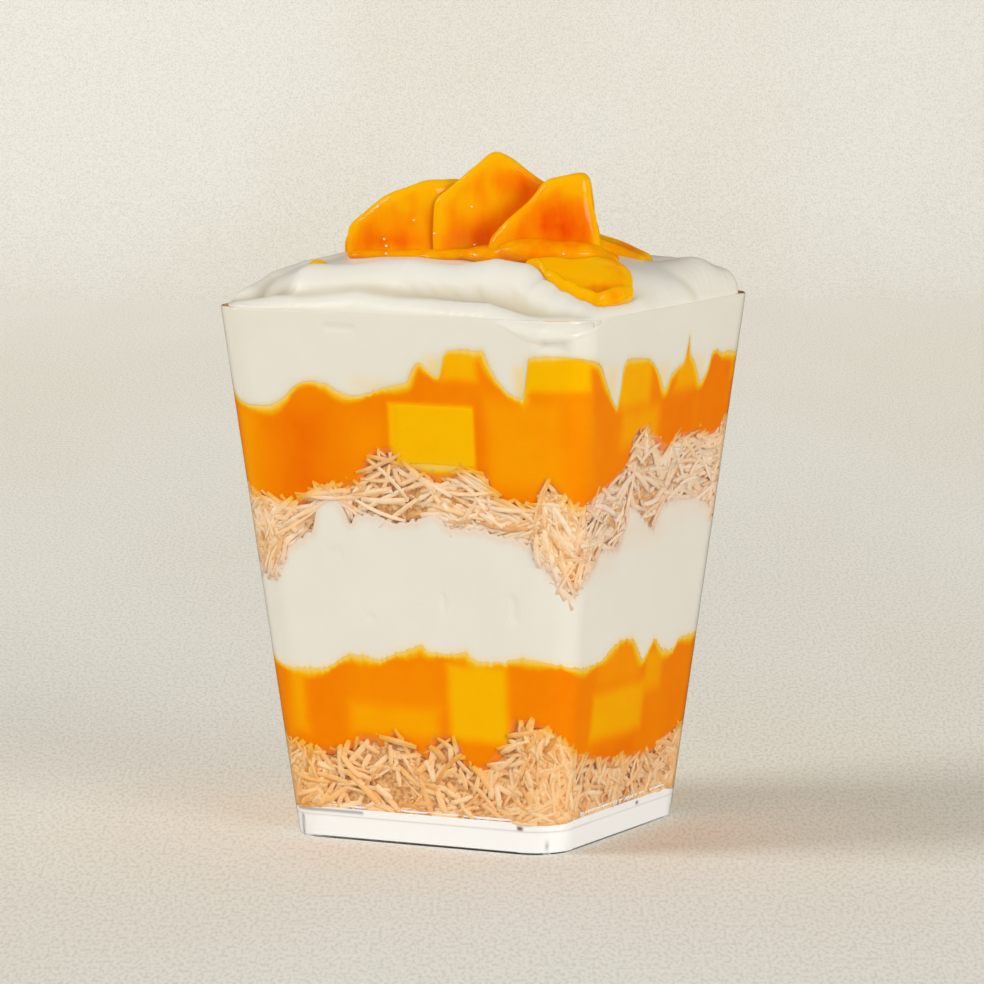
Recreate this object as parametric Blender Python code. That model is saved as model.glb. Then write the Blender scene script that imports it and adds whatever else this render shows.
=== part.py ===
"""A square dessert cup of mango, cream and kunafa, built with Blender's own modelling tools.

The clear cup tapers to a foot with a shallow hollow under its floor. Its filling lies in six
layers that each run right through it: kunafa, mango, cream, kunafa, mango and a swirl of cream
that stands over the rim. Dice of mango lie in both mango layers, flat against the wall, and
cut pieces of mango are piled on the cream.

Units are metres, +Z is up, and the origin is the middle of the foot. A place round the wall is
a number: 0, 2, 4 and 6 are the middles of the right, back, left and front sides, and the odd
numbers are the corners.
"""
import math
import random

import bmesh
import bpy
from mathutils import Matrix, Vector

MM = 0.001
RIGHT, BACK, LEFT, FRONT = range(4)

# The cup
CUP_HEIGHT = 80 * MM
FOOT_HALF = 22.4 * MM
RIM_HALF = 30.9 * MM
OUTER_CORNER = 6 * MM
WALL = 1.3 * MM
FLOOR_TOP = 4.8 * MM
FLOOR_UNDERSIDE = 3.6 * MM
RIM_ROUNDING = 0.35 * MM
CUP_CORNER_STEPS = 6

# The filling
GAP = 0.3 * MM
FLAT_SHARE = 0.84
SIDE_STEPS = {RIGHT: 20, BACK: 10, LEFT: 10, FRONT: 20}
FILL_CORNER_STEPS = 4
DRAWN_PLACES = (1.15, 4.85)
DRAWN_STEP = (0.14, 0.34)
CORE_REACH = 0.955
CORE_INSET = 1.2 * MM
CALM_REACH = 0.87
LAYER_RINGS = (1, CORE_REACH, CALM_REACH)
CORE_RINGS = (CORE_REACH, CALM_REACH)
SWIRL_RINGS = (1, 0.985, CORE_REACH, 0.91, 0.85, 0.78, 0.69, 0.57, 0.3)

# Kunafa shreds
SHRED_COUNT = 66
SHRED_LENGTH = (5.5 * MM, 9 * MM)
SHRED_WIDTH = 1.0 * MM
SHRED_THICKNESS = 1.25 * MM
SHRED_SKIN = (0.1 * MM, 0.25 * MM)
SHRED_TILT = math.radians(50)
SHRED_MARGIN = 0.3 * MM
SHRED_TRIES = 60

# Mango pieces
DIE_DEPTH = 6 * MM
DIE_EDGE = 0.7 * MM
PIECE_EDGE = 0.9 * MM
PILE_TURN = math.radians(26.7)

# The colour, roughness and metallic value of each stuff
CLEAR = (0.95, 0.96, 0.96), 0.05, 0.0
KUNAFA = (0.85, 0.58, 0.32), 0.6, 0.0
CREAM = (0.93, 0.89, 0.82), 0.35, 0.0
MANGO_SAUCE = (0.93, 0.42, 0.01), 0.25, 0.0
MANGO_FLESH = (0.96, 0.55, 0.02), 0.3, 0.0


def smooth(share):
    """A step from 0 to 1 that starts and ends level."""
    share = min(max(share, 0.0), 1.0)
    return share * share * (3 - 2 * share)


def between(pair, share):
    """The value at a share of the way between two others."""
    return pair[0] + (pair[1] - pair[0]) * share


# ---------------------------------------------------------------- the cup's section

def outer_half(z):
    """Half the cup's outer width at a height."""
    return between((FOOT_HALF, RIM_HALF), z / CUP_HEIGHT)


def outline(place, z, inset):
    """The point at a place on the cup's rounded square section, an inset within its outside."""
    side = round(place / 2)
    along = place - 2 * side
    radius = OUTER_CORNER - inset
    flat = outer_half(z) - OUTER_CORNER
    bend = max(abs(along) - FLAT_SHARE, 0) / (1 - FLAT_SHARE) * math.pi / 4
    bend = math.copysign(bend, along)
    x = flat + radius * math.cos(bend)
    y = flat * min(max(along / FLAT_SHARE, -1), 1) + radius * math.sin(bend)
    point = Matrix.Rotation(side * math.pi / 2, 3, "Z") @ Vector((x, y, 0))
    return Vector((point.x, point.y, z))


def fill_point(place, reach, z):
    """A point of the filling, as far out as a share of the way to its side."""
    inset = WALL + GAP + CORE_INSET * min((1 - reach) / (1 - CORE_REACH), 1)
    point = outline(place, z, inset)
    scale = min(reach / CORE_REACH, 1)
    return Vector((point.x * scale, point.y * scale, z))


def wall_axes(place):
    """The wall's level and rising directions and its outward normal at a place."""
    side = round(place / 2)
    along = place - 2 * side
    bend = math.copysign(max(abs(along) - FLAT_SHARE, 0) / (1 - FLAT_SHARE) * math.pi / 4, along)
    turn = side * math.pi / 2 + bend
    level = Vector((-math.sin(turn), math.cos(turn), 0))
    lean = (RIM_HALF - FOOT_HALF) / CUP_HEIGHT
    normal = Vector((math.cos(turn), math.sin(turn), -lean)).normalized()
    return level, normal.cross(level), normal


def length_per_place(z):
    """How far one whole place is along the wall at a height."""
    return (outer_half(z) - OUTER_CORNER) / FLAT_SHARE


def place_on(side, offset, z):
    """The place of a point on a side, an offset from the side's middle at a height."""
    return 2 * side + offset / length_per_place(z)


def ring_places(side_steps, corner_steps):
    """Places all round the wall: even steps along each side and round each corner."""
    places = []
    for side in (RIGHT, BACK, LEFT, FRONT):
        steps = side_steps[side]
        places += [2 * side + FLAT_SHARE * (2 * step / steps - 1) for step in range(steps)]
        arc = (2 * side + FLAT_SHARE, 2 * side + 2 - FLAT_SHARE)
        places += [between(arc, step / corner_steps) for step in range(corner_steps)]
    return places


FILL_PLACES = ring_places(SIDE_STEPS, FILL_CORNER_STEPS)
CUP_PLACES = ring_places(dict.fromkeys(SIDE_STEPS, 1), CUP_CORNER_STEPS)


# ---------------------------------------------------------------- borders between layers

class Border:
    """A wavy border: crests and dips along the wall, level in the middle of the cup."""

    def __init__(self, level, swing, seed, front=(), right=()):
        """Take the crests and dips of two sides in mm, and draw those of the other two."""
        self.level = level * MM
        draw = random.Random(seed)
        marks = [(place_on(FRONT, x * MM, z * MM), z * MM) for x, z in front]
        marks += [(place_on(RIGHT, y * MM, z * MM), z * MM) for y, z in right]
        place, crest = DRAWN_PLACES[0], swing * MM
        while swing and place < DRAWN_PLACES[1]:
            marks.append((place, self.level + crest * draw.uniform(0.3, 1)))
            place += draw.uniform(*DRAWN_STEP)
            crest = -crest
        self.marks = sorted((place % 8, z) for place, z in marks) or [(0, self.level)]
        self.stations = [self.wave(place) for place in FILL_PLACES]

    def wave(self, place):
        """The smooth curve through the crests and dips."""
        place %= 8
        last, first = self.marks[-1], self.marks[0]
        marks = [(last[0] - 8, last[1]), *self.marks, (first[0] + 8, first[1])]
        for start, end in zip(marks, marks[1:]):
            if start[0] <= place <= end[0]:
                share = (place - start[0]) / max(end[0] - start[0], 1e-9)
                return between((start[1], end[1]), smooth(share))
        return self.level

    def at_wall(self, place):
        """The height at the wall, straight between two stations of the mesh."""
        turn = [(station - FILL_PLACES[0]) % 8 for station in FILL_PLACES] + [8]
        seek = (place - FILL_PLACES[0]) % 8
        index = max(number for number, start in enumerate(turn[:-1]) if start <= seek)
        share = (seek - turn[index]) / (turn[index + 1] - turn[index])
        heights = (self.stations[index], self.stations[(index + 1) % len(self.stations)])
        return between(heights, share)

    def height(self, place, reach):
        """The height at a place, as far out as a share of the way to the wall."""
        waviness = (reach - CALM_REACH) / (CORE_REACH - CALM_REACH)
        return between((self.level, self.at_wall(place)), min(max(waviness, 0), 1))


FLOOR_BORDER = Border(4.8, 0, 0)
KUNAFA_BOTTOM_TOP = Border(
    14.2, 1.8, 11,
    front=[(-21, 15.6), (-17.5, 13.0), (-11, 15.2), (1.5, 13.8), (5.5, 15.9), (9.5, 12.8),
           (17.5, 19.4), (21, 17.2)],
    right=[(-19, 15.2), (-12.5, 13.6), (0, 11.4), (12, 12.4), (20, 13.8)])
MANGO_LOWER_TOP = Border(
    28.2, 1.3, 12,
    front=[(-20, 25.9), (-6, 28.6), (3, 30.0), (8, 30.0), (12, 28.6), (18, 29.5), (22, 29.0)],
    right=[(-19, 27.4), (-5, 30.3), (2.8, 27.1), (6, 28.8), (12, 26.8), (17, 28.3), (21, 27.9)])
CREAM_MIDDLE_TOP = Border(
    46.0, 2.4, 13,
    front=[(-23.5, 40.7), (-21.8, 41.3), (-13.2, 50.6), (-9.5, 48.3), (-7, 49.8), (1.5, 48.4),
           (13, 48.3), (18.9, 46.6), (22.9, 43.0)],
    right=[(-23.5, 39.5), (-17, 43.6), (-10.5, 44.2), (-6, 49.6), (2.4, 48.3), (7, 50.4),
           (14, 49.8), (22, 46.8)])
KUNAFA_UPPER_TOP = Border(
    55.5, 2.6, 14,
    front=[(-25.5, 51.5), (-19.5, 50.6), (-14, 52.8), (-3.6, 58.7), (0, 56.6), (11.3, 55.9),
           (15, 52.7), (20, 52.2), (23.6, 55.8)],
    right=[(-22.4, 51.2), (-14.2, 54.8), (-5, 61.4), (4, 58.6), (12, 60.1), (18, 58.9),
           (25, 59.8)])
MANGO_UPPER_TOP = Border(
    70.0, 2.6, 15,
    front=[(-27, 67.0), (-22.6, 65.4), (-14, 69.3), (-8.1, 67.4), (3.8, 72.5), (6.2, 70.8),
           (9.3, 74.7), (14, 75.2), (19.8, 68.5), (23, 73.9)],
    right=[(-21, 70.8), (-18, 67.5), (-14.2, 72.6), (-7, 72.4), (1.9, 67.7), (7.7, 74.6),
           (13.8, 67.4), (18, 71.6), (26, 71.4)])
SWIRL_CONTACT = Border(
    80.2, 0.25, 16,
    front=[(-24, 80.2), (14, 80.0), (20, 77.6), (23.5, 76.4)],
    right=[(-24, 78.2), (-18, 80.0), (24, 80.3)])


# ---------------------------------------------------------------- closed shapes

def add_disc(bm, rings, level):
    """A flat disc in rings, cut in triangles. Returns the edges of its outer ring."""
    circle = bmesh.ops.create_circle(bm, segments=len(FILL_PLACES), radius=rings[0],
                                     matrix=Matrix.Translation((0, 0, level)))
    rim = list({edge for vert in circle["verts"] for edge in vert.link_edges})
    edges = rim
    faces = []
    for outer, inner in zip(rings, rings[1:]):
        grown = bmesh.ops.extrude_edge_only(bm, edges=edges)["geom"]
        verts = {item for item in grown if isinstance(item, bmesh.types.BMVert)}
        bmesh.ops.scale(bm, vec=(inner / outer, inner / outer, 1), verts=list(verts))
        edges = [item for item in grown
                 if isinstance(item, bmesh.types.BMEdge) and verts.issuperset(item.verts)]
        faces += [item for item in grown if isinstance(item, bmesh.types.BMFace)]
    faces += bmesh.ops.contextual_create(bm, geom=edges)["faces"]
    bmesh.ops.triangulate(bm, faces=faces, quad_method="FIXED")
    return rim


def wrap(bm, places, move):
    """Carry a mesh built round the Z axis to its true shape, place by place."""
    for vert in bm.verts:
        turn = math.atan2(vert.co.y, vert.co.x) / math.tau * len(places)
        vert.co = move(places[round(turn) % len(places)], vert.co.xy.length, round(vert.co.z))


def fill_mesh(floor_rings, roof_rings, floor, roof):
    """A closed slab in the plan of the filling, between two heights of (place, reach)."""
    bm = bmesh.new()
    lower = add_disc(bm, floor_rings, 0)
    upper = add_disc(bm, roof_rings, 1)
    bmesh.ops.bridge_loops(bm, edges=lower + upper)

    def move(place, reach, level):
        return fill_point(place, reach, roof(place, reach) if level else floor(place, reach))

    wrap(bm, FILL_PLACES, move)
    bmesh.ops.recalc_face_normals(bm, faces=bm.faces[:])
    return bm


def layer_mesh(below, above, rings):
    """One layer between two borders, half a gap clear of each."""
    return fill_mesh(rings, rings,
                     lambda place, reach: below.height(place, reach) + GAP / 2,
                     lambda place, reach: above.height(place, reach) - GAP / 2)


def cut_block(size, cuts=(), edge=PIECE_EDGE):
    """A block with its corner cut off by planes, each a point and a normal, and dulled edges."""
    bm = bmesh.new()
    bmesh.ops.create_cube(bm, size=1, matrix=Matrix.Diagonal((*size, 1)))
    for point, normal in cuts:
        everything = bm.verts[:] + bm.edges[:] + bm.faces[:]
        cut = bmesh.ops.bisect_plane(bm, geom=everything, plane_co=Vector(point),
                                     plane_no=Vector(normal), clear_outer=True)
        rim = [item for item in cut["geom_cut"] if isinstance(item, bmesh.types.BMEdge)]
        bmesh.ops.contextual_create(bm, geom=rim)
    bmesh.ops.recalc_face_normals(bm, faces=bm.faces[:])
    if edge:
        bmesh.ops.bevel(bm, geom=bm.edges[:], offset=edge, segments=1, affect="EDGES",
                        clamp_overlap=True)
    return bm


# ---------------------------------------------------------------- objects

def material(name, finish):
    """A plain Principled material, made once."""
    if name in bpy.data.materials:
        return bpy.data.materials[name]
    colour, roughness, metallic = finish
    made = bpy.data.materials.new(name)
    made.use_nodes = True
    shader = made.node_tree.nodes["Principled BSDF"]
    shader.inputs["Base Color"].default_value = (*colour, 1)
    shader.inputs["Roughness"].default_value = roughness
    shader.inputs["Metallic"].default_value = metallic
    return made


def add_object(name, bm, stuff, finish):
    """A named object of a mesh, with its material."""
    mesh = bpy.data.meshes.new(name)
    bm.to_mesh(mesh)
    bm.free()
    mesh.materials.append(material(stuff, finish))
    made = bpy.data.objects.new(name, mesh)
    bpy.context.scene.collection.objects.link(made)
    return made


def combine(target, tools, operation):
    """Join tools to an object or cut them from it, apply the result and remove the tools."""
    group = bpy.data.collections.new("tools")
    bpy.context.scene.collection.children.link(group)
    for tool in tools:
        bpy.context.scene.collection.objects.unlink(tool)
        group.objects.link(tool)
    boolean = target.modifiers.new("join", "BOOLEAN")
    boolean.operand_type = "COLLECTION"
    boolean.collection = group
    boolean.operation = operation
    boolean.solver = "MANIFOLD"
    bpy.context.view_layer.update()
    graph = bpy.context.evaluated_depsgraph_get()
    mesh = bpy.data.meshes.new_from_object(target.evaluated_get(graph))
    target.modifiers.clear()
    target.data = mesh
    for tool in tools:
        bpy.data.objects.remove(tool)
    bpy.data.collections.remove(group)


# ---------------------------------------------------------------- the cup and its layers

def add_cup():
    """The clear cup: underside hollow, foot ring, outside, rim, inside and floor."""
    sections = [
        (FLOOR_UNDERSIDE, WALL), (0, WALL), (0, 0),
        (CUP_HEIGHT - RIM_ROUNDING, 0), (CUP_HEIGHT, RIM_ROUNDING),
        (CUP_HEIGHT, WALL - RIM_ROUNDING), (CUP_HEIGHT - RIM_ROUNDING, WALL),
        (FLOOR_TOP, WALL),
    ]
    bm = bmesh.new()
    bmesh.ops.create_circle(bm, cap_ends=True, segments=len(CUP_PLACES), radius=1)
    edges = bm.edges[:]
    for _ in sections[1:]:
        grown = bmesh.ops.extrude_edge_only(bm, edges=edges)["geom"]
        verts = {item for item in grown if isinstance(item, bmesh.types.BMVert)}
        bmesh.ops.translate(bm, vec=(0, 0, 1), verts=list(verts))
        edges = [item for item in grown
                 if isinstance(item, bmesh.types.BMEdge) and verts.issuperset(item.verts)]
    bmesh.ops.contextual_create(bm, geom=edges)
    wrap(bm, CUP_PLACES, lambda place, reach, level: outline(place, *sections[level]))
    bmesh.ops.recalc_face_normals(bm, faces=bm.faces[:])
    add_object("cup", bm, "clear_plastic", CLEAR)


def shred_mesh(draw, place, z, tilt, length):
    """One straight shred along the wall: a thin block between two points of it."""
    depth = WALL + GAP + draw.uniform(*SHRED_SKIN) + SHRED_THICKNESS / 2
    ends = []
    for way in (-0.5, 0.5):
        across = way * length * math.cos(tilt)
        rise = way * length * math.sin(tilt)
        ends.append(outline(place + across / length_per_place(z), z + rise, depth))
    normal = wall_axes(place)[2]
    run = (ends[1] - ends[0]).normalized()
    cross = normal.cross(run).normalized()
    face = run.cross(cross)
    frame = Matrix((run, cross, face)).transposed().to_4x4()
    frame.translation = (ends[0] + ends[1]) / 2
    size = Matrix.Diagonal(((ends[1] - ends[0]).length, SHRED_WIDTH, SHRED_THICKNESS, 1))
    bm = bmesh.new()
    bmesh.ops.create_cube(bm, size=1, matrix=frame @ size)
    return bm


def shred_fits(place, z, tilt, length, below, above):
    """Whether a shred stays between the two borders along its whole length."""
    for way in (-0.5, -0.25, 0, 0.25, 0.5):
        here = place + way * length * math.cos(tilt) / length_per_place(z)
        middle = z + way * length * math.sin(tilt)
        room = SHRED_WIDTH / 2 / math.cos(tilt) + GAP / 2 + SHRED_MARGIN
        if middle - room < below.at_wall(here) or middle + room > above.at_wall(here):
            return False
    return True


def add_kunafa(name, below, above, seed):
    """A kunafa layer: a core with the shreds that lie along the wall fused to it."""
    draw = random.Random(seed)
    core = add_object(name, layer_mesh(below, above, CORE_RINGS), "kunafa", KUNAFA)
    shreds = []
    for number in range(SHRED_COUNT):
        for _ in range(SHRED_TRIES):
            place = 8 * (number + draw.random()) / SHRED_COUNT
            z = draw.uniform(below.at_wall(place), above.at_wall(place))
            tilt = draw.uniform(-SHRED_TILT, SHRED_TILT)
            length = draw.uniform(*SHRED_LENGTH)
            if shred_fits(place, z, tilt, length, below, above):
                bm = shred_mesh(draw, place, z, tilt, length)
                shreds.append(add_object(f"{name}_shred", bm, "kunafa", KUNAFA))
                break
    combine(core, shreds, "UNION")


# ---------------------------------------------------------------- mango dice in the layers

# side, offset from its middle, middle height, width, height and roll in degrees
LOWER_DICE = [
    (FRONT, -14.9, 20.2, 6.6, 8.4, 2), (FRONT, -2.8, 20.7, 15.0, 7.8, -1),
    (FRONT, 9.9, 22.4, 7.2, 9.6, 1), (RIGHT, -7.0, 20.9, 13.0, 11.0, 0),
    (RIGHT, 5.6, 20.3, 7.8, 9.6, -3), (RIGHT, 14.8, 20.4, 6.8, 9.4, 3),
    (BACK, -11.8, 21.5, 8.4, 7.6, 4), (BACK, 0.4, 21.4, 11.4, 8.2, -2),
    (BACK, 12.2, 21.6, 8.0, 8.0, 2), (LEFT, -12.0, 21.4, 8.4, 8.2, -3),
    (LEFT, -0.8, 21.6, 10.4, 7.6, 3), (LEFT, 11.6, 21.4, 9.6, 8.2, -1),
]
UPPER_DICE = [
    (FRONT, -15.6, 60.6, 12.0, 7.8, 2), (FRONT, 5.8, 62.3, 13.4, 9.4, -0.5),
    (FRONT, 11.3, 71.0, 6.8, 4.6, 3), (FRONT, 18.9, 61.7, 7.0, 10.2, 0),
    (RIGHT, -8.8, 65.9, 10.2, 6.6, 1), (RIGHT, 7.8, 65.0, 7.0, 6.6, -3),
    (RIGHT, 19.3, 65.0, 5.4, 8.2, 2), (BACK, -15.0, 62.9, 10.4, 7.2, -4),
    (BACK, -0.6, 62.7, 12.0, 7.4, 2), (BACK, 14.4, 62.9, 10.2, 7.4, 1),
    (LEFT, -15.4, 62.8, 9.6, 7.4, 3), (LEFT, -1.4, 62.7, 12.6, 7.2, -2),
    (LEFT, 14.6, 62.9, 10.0, 7.4, 2),
]


def die_mesh(side, offset, z, width, height, roll, growth=0.0):
    """A die with one face flat in the filling's side, or the hollow that it lies in."""
    level, up, normal = wall_axes(2 * side)
    turn = Matrix.Rotation(math.radians(roll), 3, normal)
    frame = Matrix((turn @ level, turn @ up, normal)).transposed().to_4x4()
    face = outline(place_on(side, offset, z), z, WALL + GAP)
    outward = DIE_EDGE if growth else 0
    depth = DIE_DEPTH + growth + outward
    frame.translation = face + normal * (outward - depth / 2)
    bm = cut_block((width + 2 * growth, height + 2 * growth, depth),
                   edge=0 if growth else DIE_EDGE)
    bmesh.ops.transform(bm, matrix=frame, verts=bm.verts[:])
    return bm


def hollow_for_die(die):
    """The hollow that a die lies in."""
    side, offset, z, width, height, roll = die
    bm = die_mesh(side, offset * MM, z * MM, width * MM, height * MM, roll, growth=GAP)
    return add_object("hollow", bm, "mango_flesh", MANGO_FLESH)


def add_mango_layer(name, below, above, dice):
    """A mango layer and its dice, each die in a hollow with a small gap round it."""
    layer = add_object(name, layer_mesh(below, above, LAYER_RINGS), "mango_sauce", MANGO_SAUCE)
    for number, (side, offset, z, width, height, roll) in enumerate(dice, start=1):
        bm = die_mesh(side, offset * MM, z * MM, width * MM, height * MM, roll)
        add_object(f"{name}_die_{number:02d}", bm, "mango_flesh", MANGO_FLESH)
    combine(layer, [hollow_for_die(die) for die in dice], "DIFFERENCE")


# ---------------------------------------------------------------- the swirl of cream

# Each roll of cream is a path of (x, y, crest height), its half width and its fall, in mm.
SWIRL_ROLLS = [
    ([(-18, -9, 87.0), (-6, 2, 86.8), (8, 8, 86.4), (16, 14, 86.0)], 20, 6.5),
    ([(-19, -19.5, 85.8), (-2.5, -18, 86.9), (9, -17, 87.0), (17, -14.5, 86.0),
      (27, -14, 82.2)], 8, 6.5),
    ([(-20, -26, 81.4), (-9, -27, 83.4), (7, -26.5, 82.0), (21, -25.5, 80.4)], 3.6, 3.0),
    ([(27.5, -12, 81.4), (27.5, 0, 82.6), (27.5, 8, 82.8), (28, 15, 80.6)], 3.4, 3.0),
    ([(21, 18, 86.2), (13, 22, 86.0)], 9.5, 5.5),
    ([(-25, -25.5, 83.4), (-24.5, -15, 85.2), (-22, 2, 86.2), (-21, 20, 85.4)], 7, 5.0),
    ([(-21, 22, 85.0), (-5, 24, 86.2), (12, 24, 85.2)], 7, 5.0),
]
SWIRL_BLEND = 0.5
SWIRL_BASE = 80.6
EDGE_POWER = 18


def roll_height(x, y, roll):
    """The height of one roll of cream over a point, in mm, or its foot's height beside it."""
    path, half_width, fall = roll
    best = -math.inf
    for start, end in zip(path, path[1:]):
        run_x, run_y = end[0] - start[0], end[1] - start[1]
        share = ((x - start[0]) * run_x + (y - start[1]) * run_y) / (run_x ** 2 + run_y ** 2)
        share = min(max(share, 0), 1)
        away = math.hypot(x - start[0] - share * run_x, y - start[1] - share * run_y)
        crest = between((start[2], end[2]), share)
        round_share = math.sqrt(max(1 - (away / half_width) ** 2, 0))
        best = max(best, crest - fall * (1 - round_share) - max(away - half_width, 0))
    return best


def swirl_height(place, reach):
    """The top of the cream: rolls blended where they meet, rounded down to the wall."""
    point = fill_point(place, reach, CUP_HEIGHT)
    x, y = point.x / MM, point.y / MM
    heights = [roll_height(x, y, roll) for roll in SWIRL_ROLLS] + [SWIRL_BASE]
    top = max(heights)
    blend = sum(math.exp((height - top) / SWIRL_BLEND) for height in heights)
    top = (top + SWIRL_BLEND * math.log(blend)) * MM
    contact = SWIRL_CONTACT.at_wall(place)
    return between((contact, top), math.sqrt(max(1 - reach ** EDGE_POWER, 0)))


# ---------------------------------------------------------------- mango piled on the cream

# Across, towards the front and up from the cup's middle, in the pile's own turned frame:
# middle, size and rotation in degrees of each piece, then the planes that cut its corners.
PILE = {
    "mango_right": ((9.2, 8, 91.9), (16.8, 11, 14.4), (0, 0, 0),
                    [((-4.2, 0, 1.8), (-1, 0, 1)), ((0.1, 0, 6.1), (-0.26, 0, 0.96)),
                     ((6.2, 0, 3.2), (0.98, 0, 0.18))]),
    "mango_middle": ((1.5, 1.0, 93.5), (18, 13, 17.4), (0, 0, 0),
                     [((0, 0, 8.3), (-0.64, -0.12, 0.77)), ((0, 0, 8.3), (0.55, -0.12, 0.83))]),
    "mango_left": ((-11.8, 0.8, 91.4), (17, 11, 12.6), (0, 0, 5),
                   [((-3.6, 0, 4.0), (-0.57, 0, 0.82)), ((-3.6, 0, 4.0), (-0.28, 0, 0.96)),
                    ((-3, -5.5, 0), (-0.55, -0.83, 0))]),
    "mango_slab": ((19.8, 0, 87.2), (10, 8, 3.4), (0, 21, -10), []),
    "mango_slice": ((16.0, 19.2, 84.3), (16.4, 9.8, 3), (0, 17, -50),
                    [((5.6, 2.4, 0), (1, 0.7, 0)), ((6.8, -3.6, 0), (1, -1, 0))]),
    "mango_chip": ((-25.3, 0, 85.0), (4.2, 4, 3), (0, -20, 25), []),
    "mango_back_left": ((-6.5, -10, 89.4), (12, 10.5, 10), (6, 8, 24),
                        [((3, 0, 3.6), (0.9, 0, 1))]),
    "mango_back_right": ((8, -11, 90.0), (12.5, 9.5, 9.5), (-5, -9, -18),
                         [((-4, 0, 3), (-0.8, -0.3, 1))]),
}


def pile_mesh(piece, growth=0.0):
    """A cut piece of mango in its place on the pile, or the larger hollow that it lies in."""
    middle, size, rotation, cuts = piece
    size = [(length + 2 * growth) * MM for length in size]
    cuts = [(Vector(point) * MM + Vector(normal).normalized() * growth * MM, normal)
            for point, normal in cuts]
    bm = cut_block(size, cuts, edge=0 if growth else PIECE_EDGE)
    across, front, up = (length * MM for length in middle)
    tilt, roll, turn = (math.radians(angle) for angle in rotation)
    frame = (Matrix.Rotation(PILE_TURN, 4, "Z") @ Matrix.Translation((across, -front, up))
             @ Matrix.Rotation(turn, 4, "Z") @ Matrix.Rotation(tilt, 4, "X")
             @ Matrix.Rotation(roll, 4, "Y"))
    bmesh.ops.transform(bm, matrix=frame, verts=bm.verts[:])
    return bm


def hollows_for(names):
    """The hollows that named pieces of the pile lie in."""
    return [add_object("hollow", pile_mesh(PILE[name], GAP / MM), "mango_flesh", MANGO_FLESH)
            for name in names]


def add_pile():
    """The mango on top: each piece is cut back where an earlier one lies against it."""
    names = list(PILE)
    for number, name in enumerate(names):
        piece = add_object(name, pile_mesh(PILE[name]), "mango_flesh", MANGO_FLESH)
        if number:
            combine(piece, hollows_for(names[:number]), "DIFFERENCE")


def add_swirl():
    """The cream on top, with a hollow round each piece of mango that lies or stands in it."""
    bm = fill_mesh(LAYER_RINGS, SWIRL_RINGS,
                   lambda place, reach: MANGO_UPPER_TOP.height(place, reach) + GAP / 2,
                   swirl_height)
    swirl = add_object("cream_swirl", bm, "cream", CREAM)
    tall = [die for die in UPPER_DICE if (die[2] + die[4] / 2) * MM > MANGO_UPPER_TOP.level]
    hollows = [hollow_for_die(die) for die in tall]
    combine(swirl, hollows + hollows_for(PILE), "DIFFERENCE")


def main():
    """Clear the scene and build the cup of dessert."""
    for old in list(bpy.data.objects):
        bpy.data.objects.remove(old)
    add_cup()
    add_kunafa("kunafa_bottom", FLOOR_BORDER, KUNAFA_BOTTOM_TOP, 21)
    add_mango_layer("mango_lower", KUNAFA_BOTTOM_TOP, MANGO_LOWER_TOP, LOWER_DICE)
    cream = layer_mesh(MANGO_LOWER_TOP, CREAM_MIDDLE_TOP, LAYER_RINGS)
    add_object("cream_middle", cream, "cream", CREAM)
    add_kunafa("kunafa_upper", CREAM_MIDDLE_TOP, KUNAFA_UPPER_TOP, 22)
    add_mango_layer("mango_upper", KUNAFA_UPPER_TOP, MANGO_UPPER_TOP, UPPER_DICE)
    add_swirl()
    add_pile()


main()
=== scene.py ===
"""Looks of a square dessert cup filled with kunafa, mango and cream, with mango piled on top.

Units are metres, +Z is up, and the origin is the middle of the cup's foot. A place round the
wall is a number: 0, 2, 4 and 6 are the middles of the right, back, left and front sides, and
the odd numbers are the corners.
"""
import logging
import math
import random
from collections.abc import Callable, Iterable, Sequence
from dataclasses import dataclass
from enum import IntEnum

import bmesh
import bpy
import numpy as np
from mathutils import Matrix, Vector, noise
from mathutils.bvhtree import BVHTree


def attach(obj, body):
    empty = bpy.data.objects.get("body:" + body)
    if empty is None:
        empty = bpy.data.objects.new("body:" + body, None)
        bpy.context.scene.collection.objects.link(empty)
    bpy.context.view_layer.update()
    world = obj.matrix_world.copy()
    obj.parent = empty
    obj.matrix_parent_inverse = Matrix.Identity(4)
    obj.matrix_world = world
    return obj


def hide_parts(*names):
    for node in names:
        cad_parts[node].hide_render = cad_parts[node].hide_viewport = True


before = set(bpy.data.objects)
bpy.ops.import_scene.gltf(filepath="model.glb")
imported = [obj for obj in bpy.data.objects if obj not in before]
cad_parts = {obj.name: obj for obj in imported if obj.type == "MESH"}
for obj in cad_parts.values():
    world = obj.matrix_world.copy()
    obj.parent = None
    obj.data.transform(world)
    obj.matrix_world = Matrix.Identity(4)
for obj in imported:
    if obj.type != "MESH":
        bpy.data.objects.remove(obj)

LOG = logging.getLogger("kunafa_cup")
MM = 0.001
BODY = "root"
Array = np.ndarray
Colour = tuple[float, ...]


class Side(IntEnum):
    """The cup's sides, in turn round it."""

    RIGHT = 0
    BACK = 1
    LEFT = 2
    FRONT = 3


# ---------------------------------------------------------------- small helpers

def linear(red: float, green: float, blue: float) -> Colour:
    """A colour as the shaders take it, from its screen values of 0 to 255.

    Args:
        red: its red on screen.
        green: its green.
        blue: its blue.

    Returns:
        Its linear red, green and blue, and an alpha of 1.
    """
    shares = [value / 255 for value in (red, green, blue)]
    bent = [s / 12.92 if s <= 0.04045 else ((s + 0.055) / 1.055) ** 2.4 for s in shares]
    return (*bent, 1.0)


def smooth(share: Array) -> Array:
    """A step from 0 to 1 that starts and ends level."""
    share = np.clip(share, 0.0, 1.0)
    return share * share * (3 - 2 * share)


def between(start: Array, end: Array, share: Array) -> Array:
    """The value at a share of the way between two others."""
    return start + (end - start) * share


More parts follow.
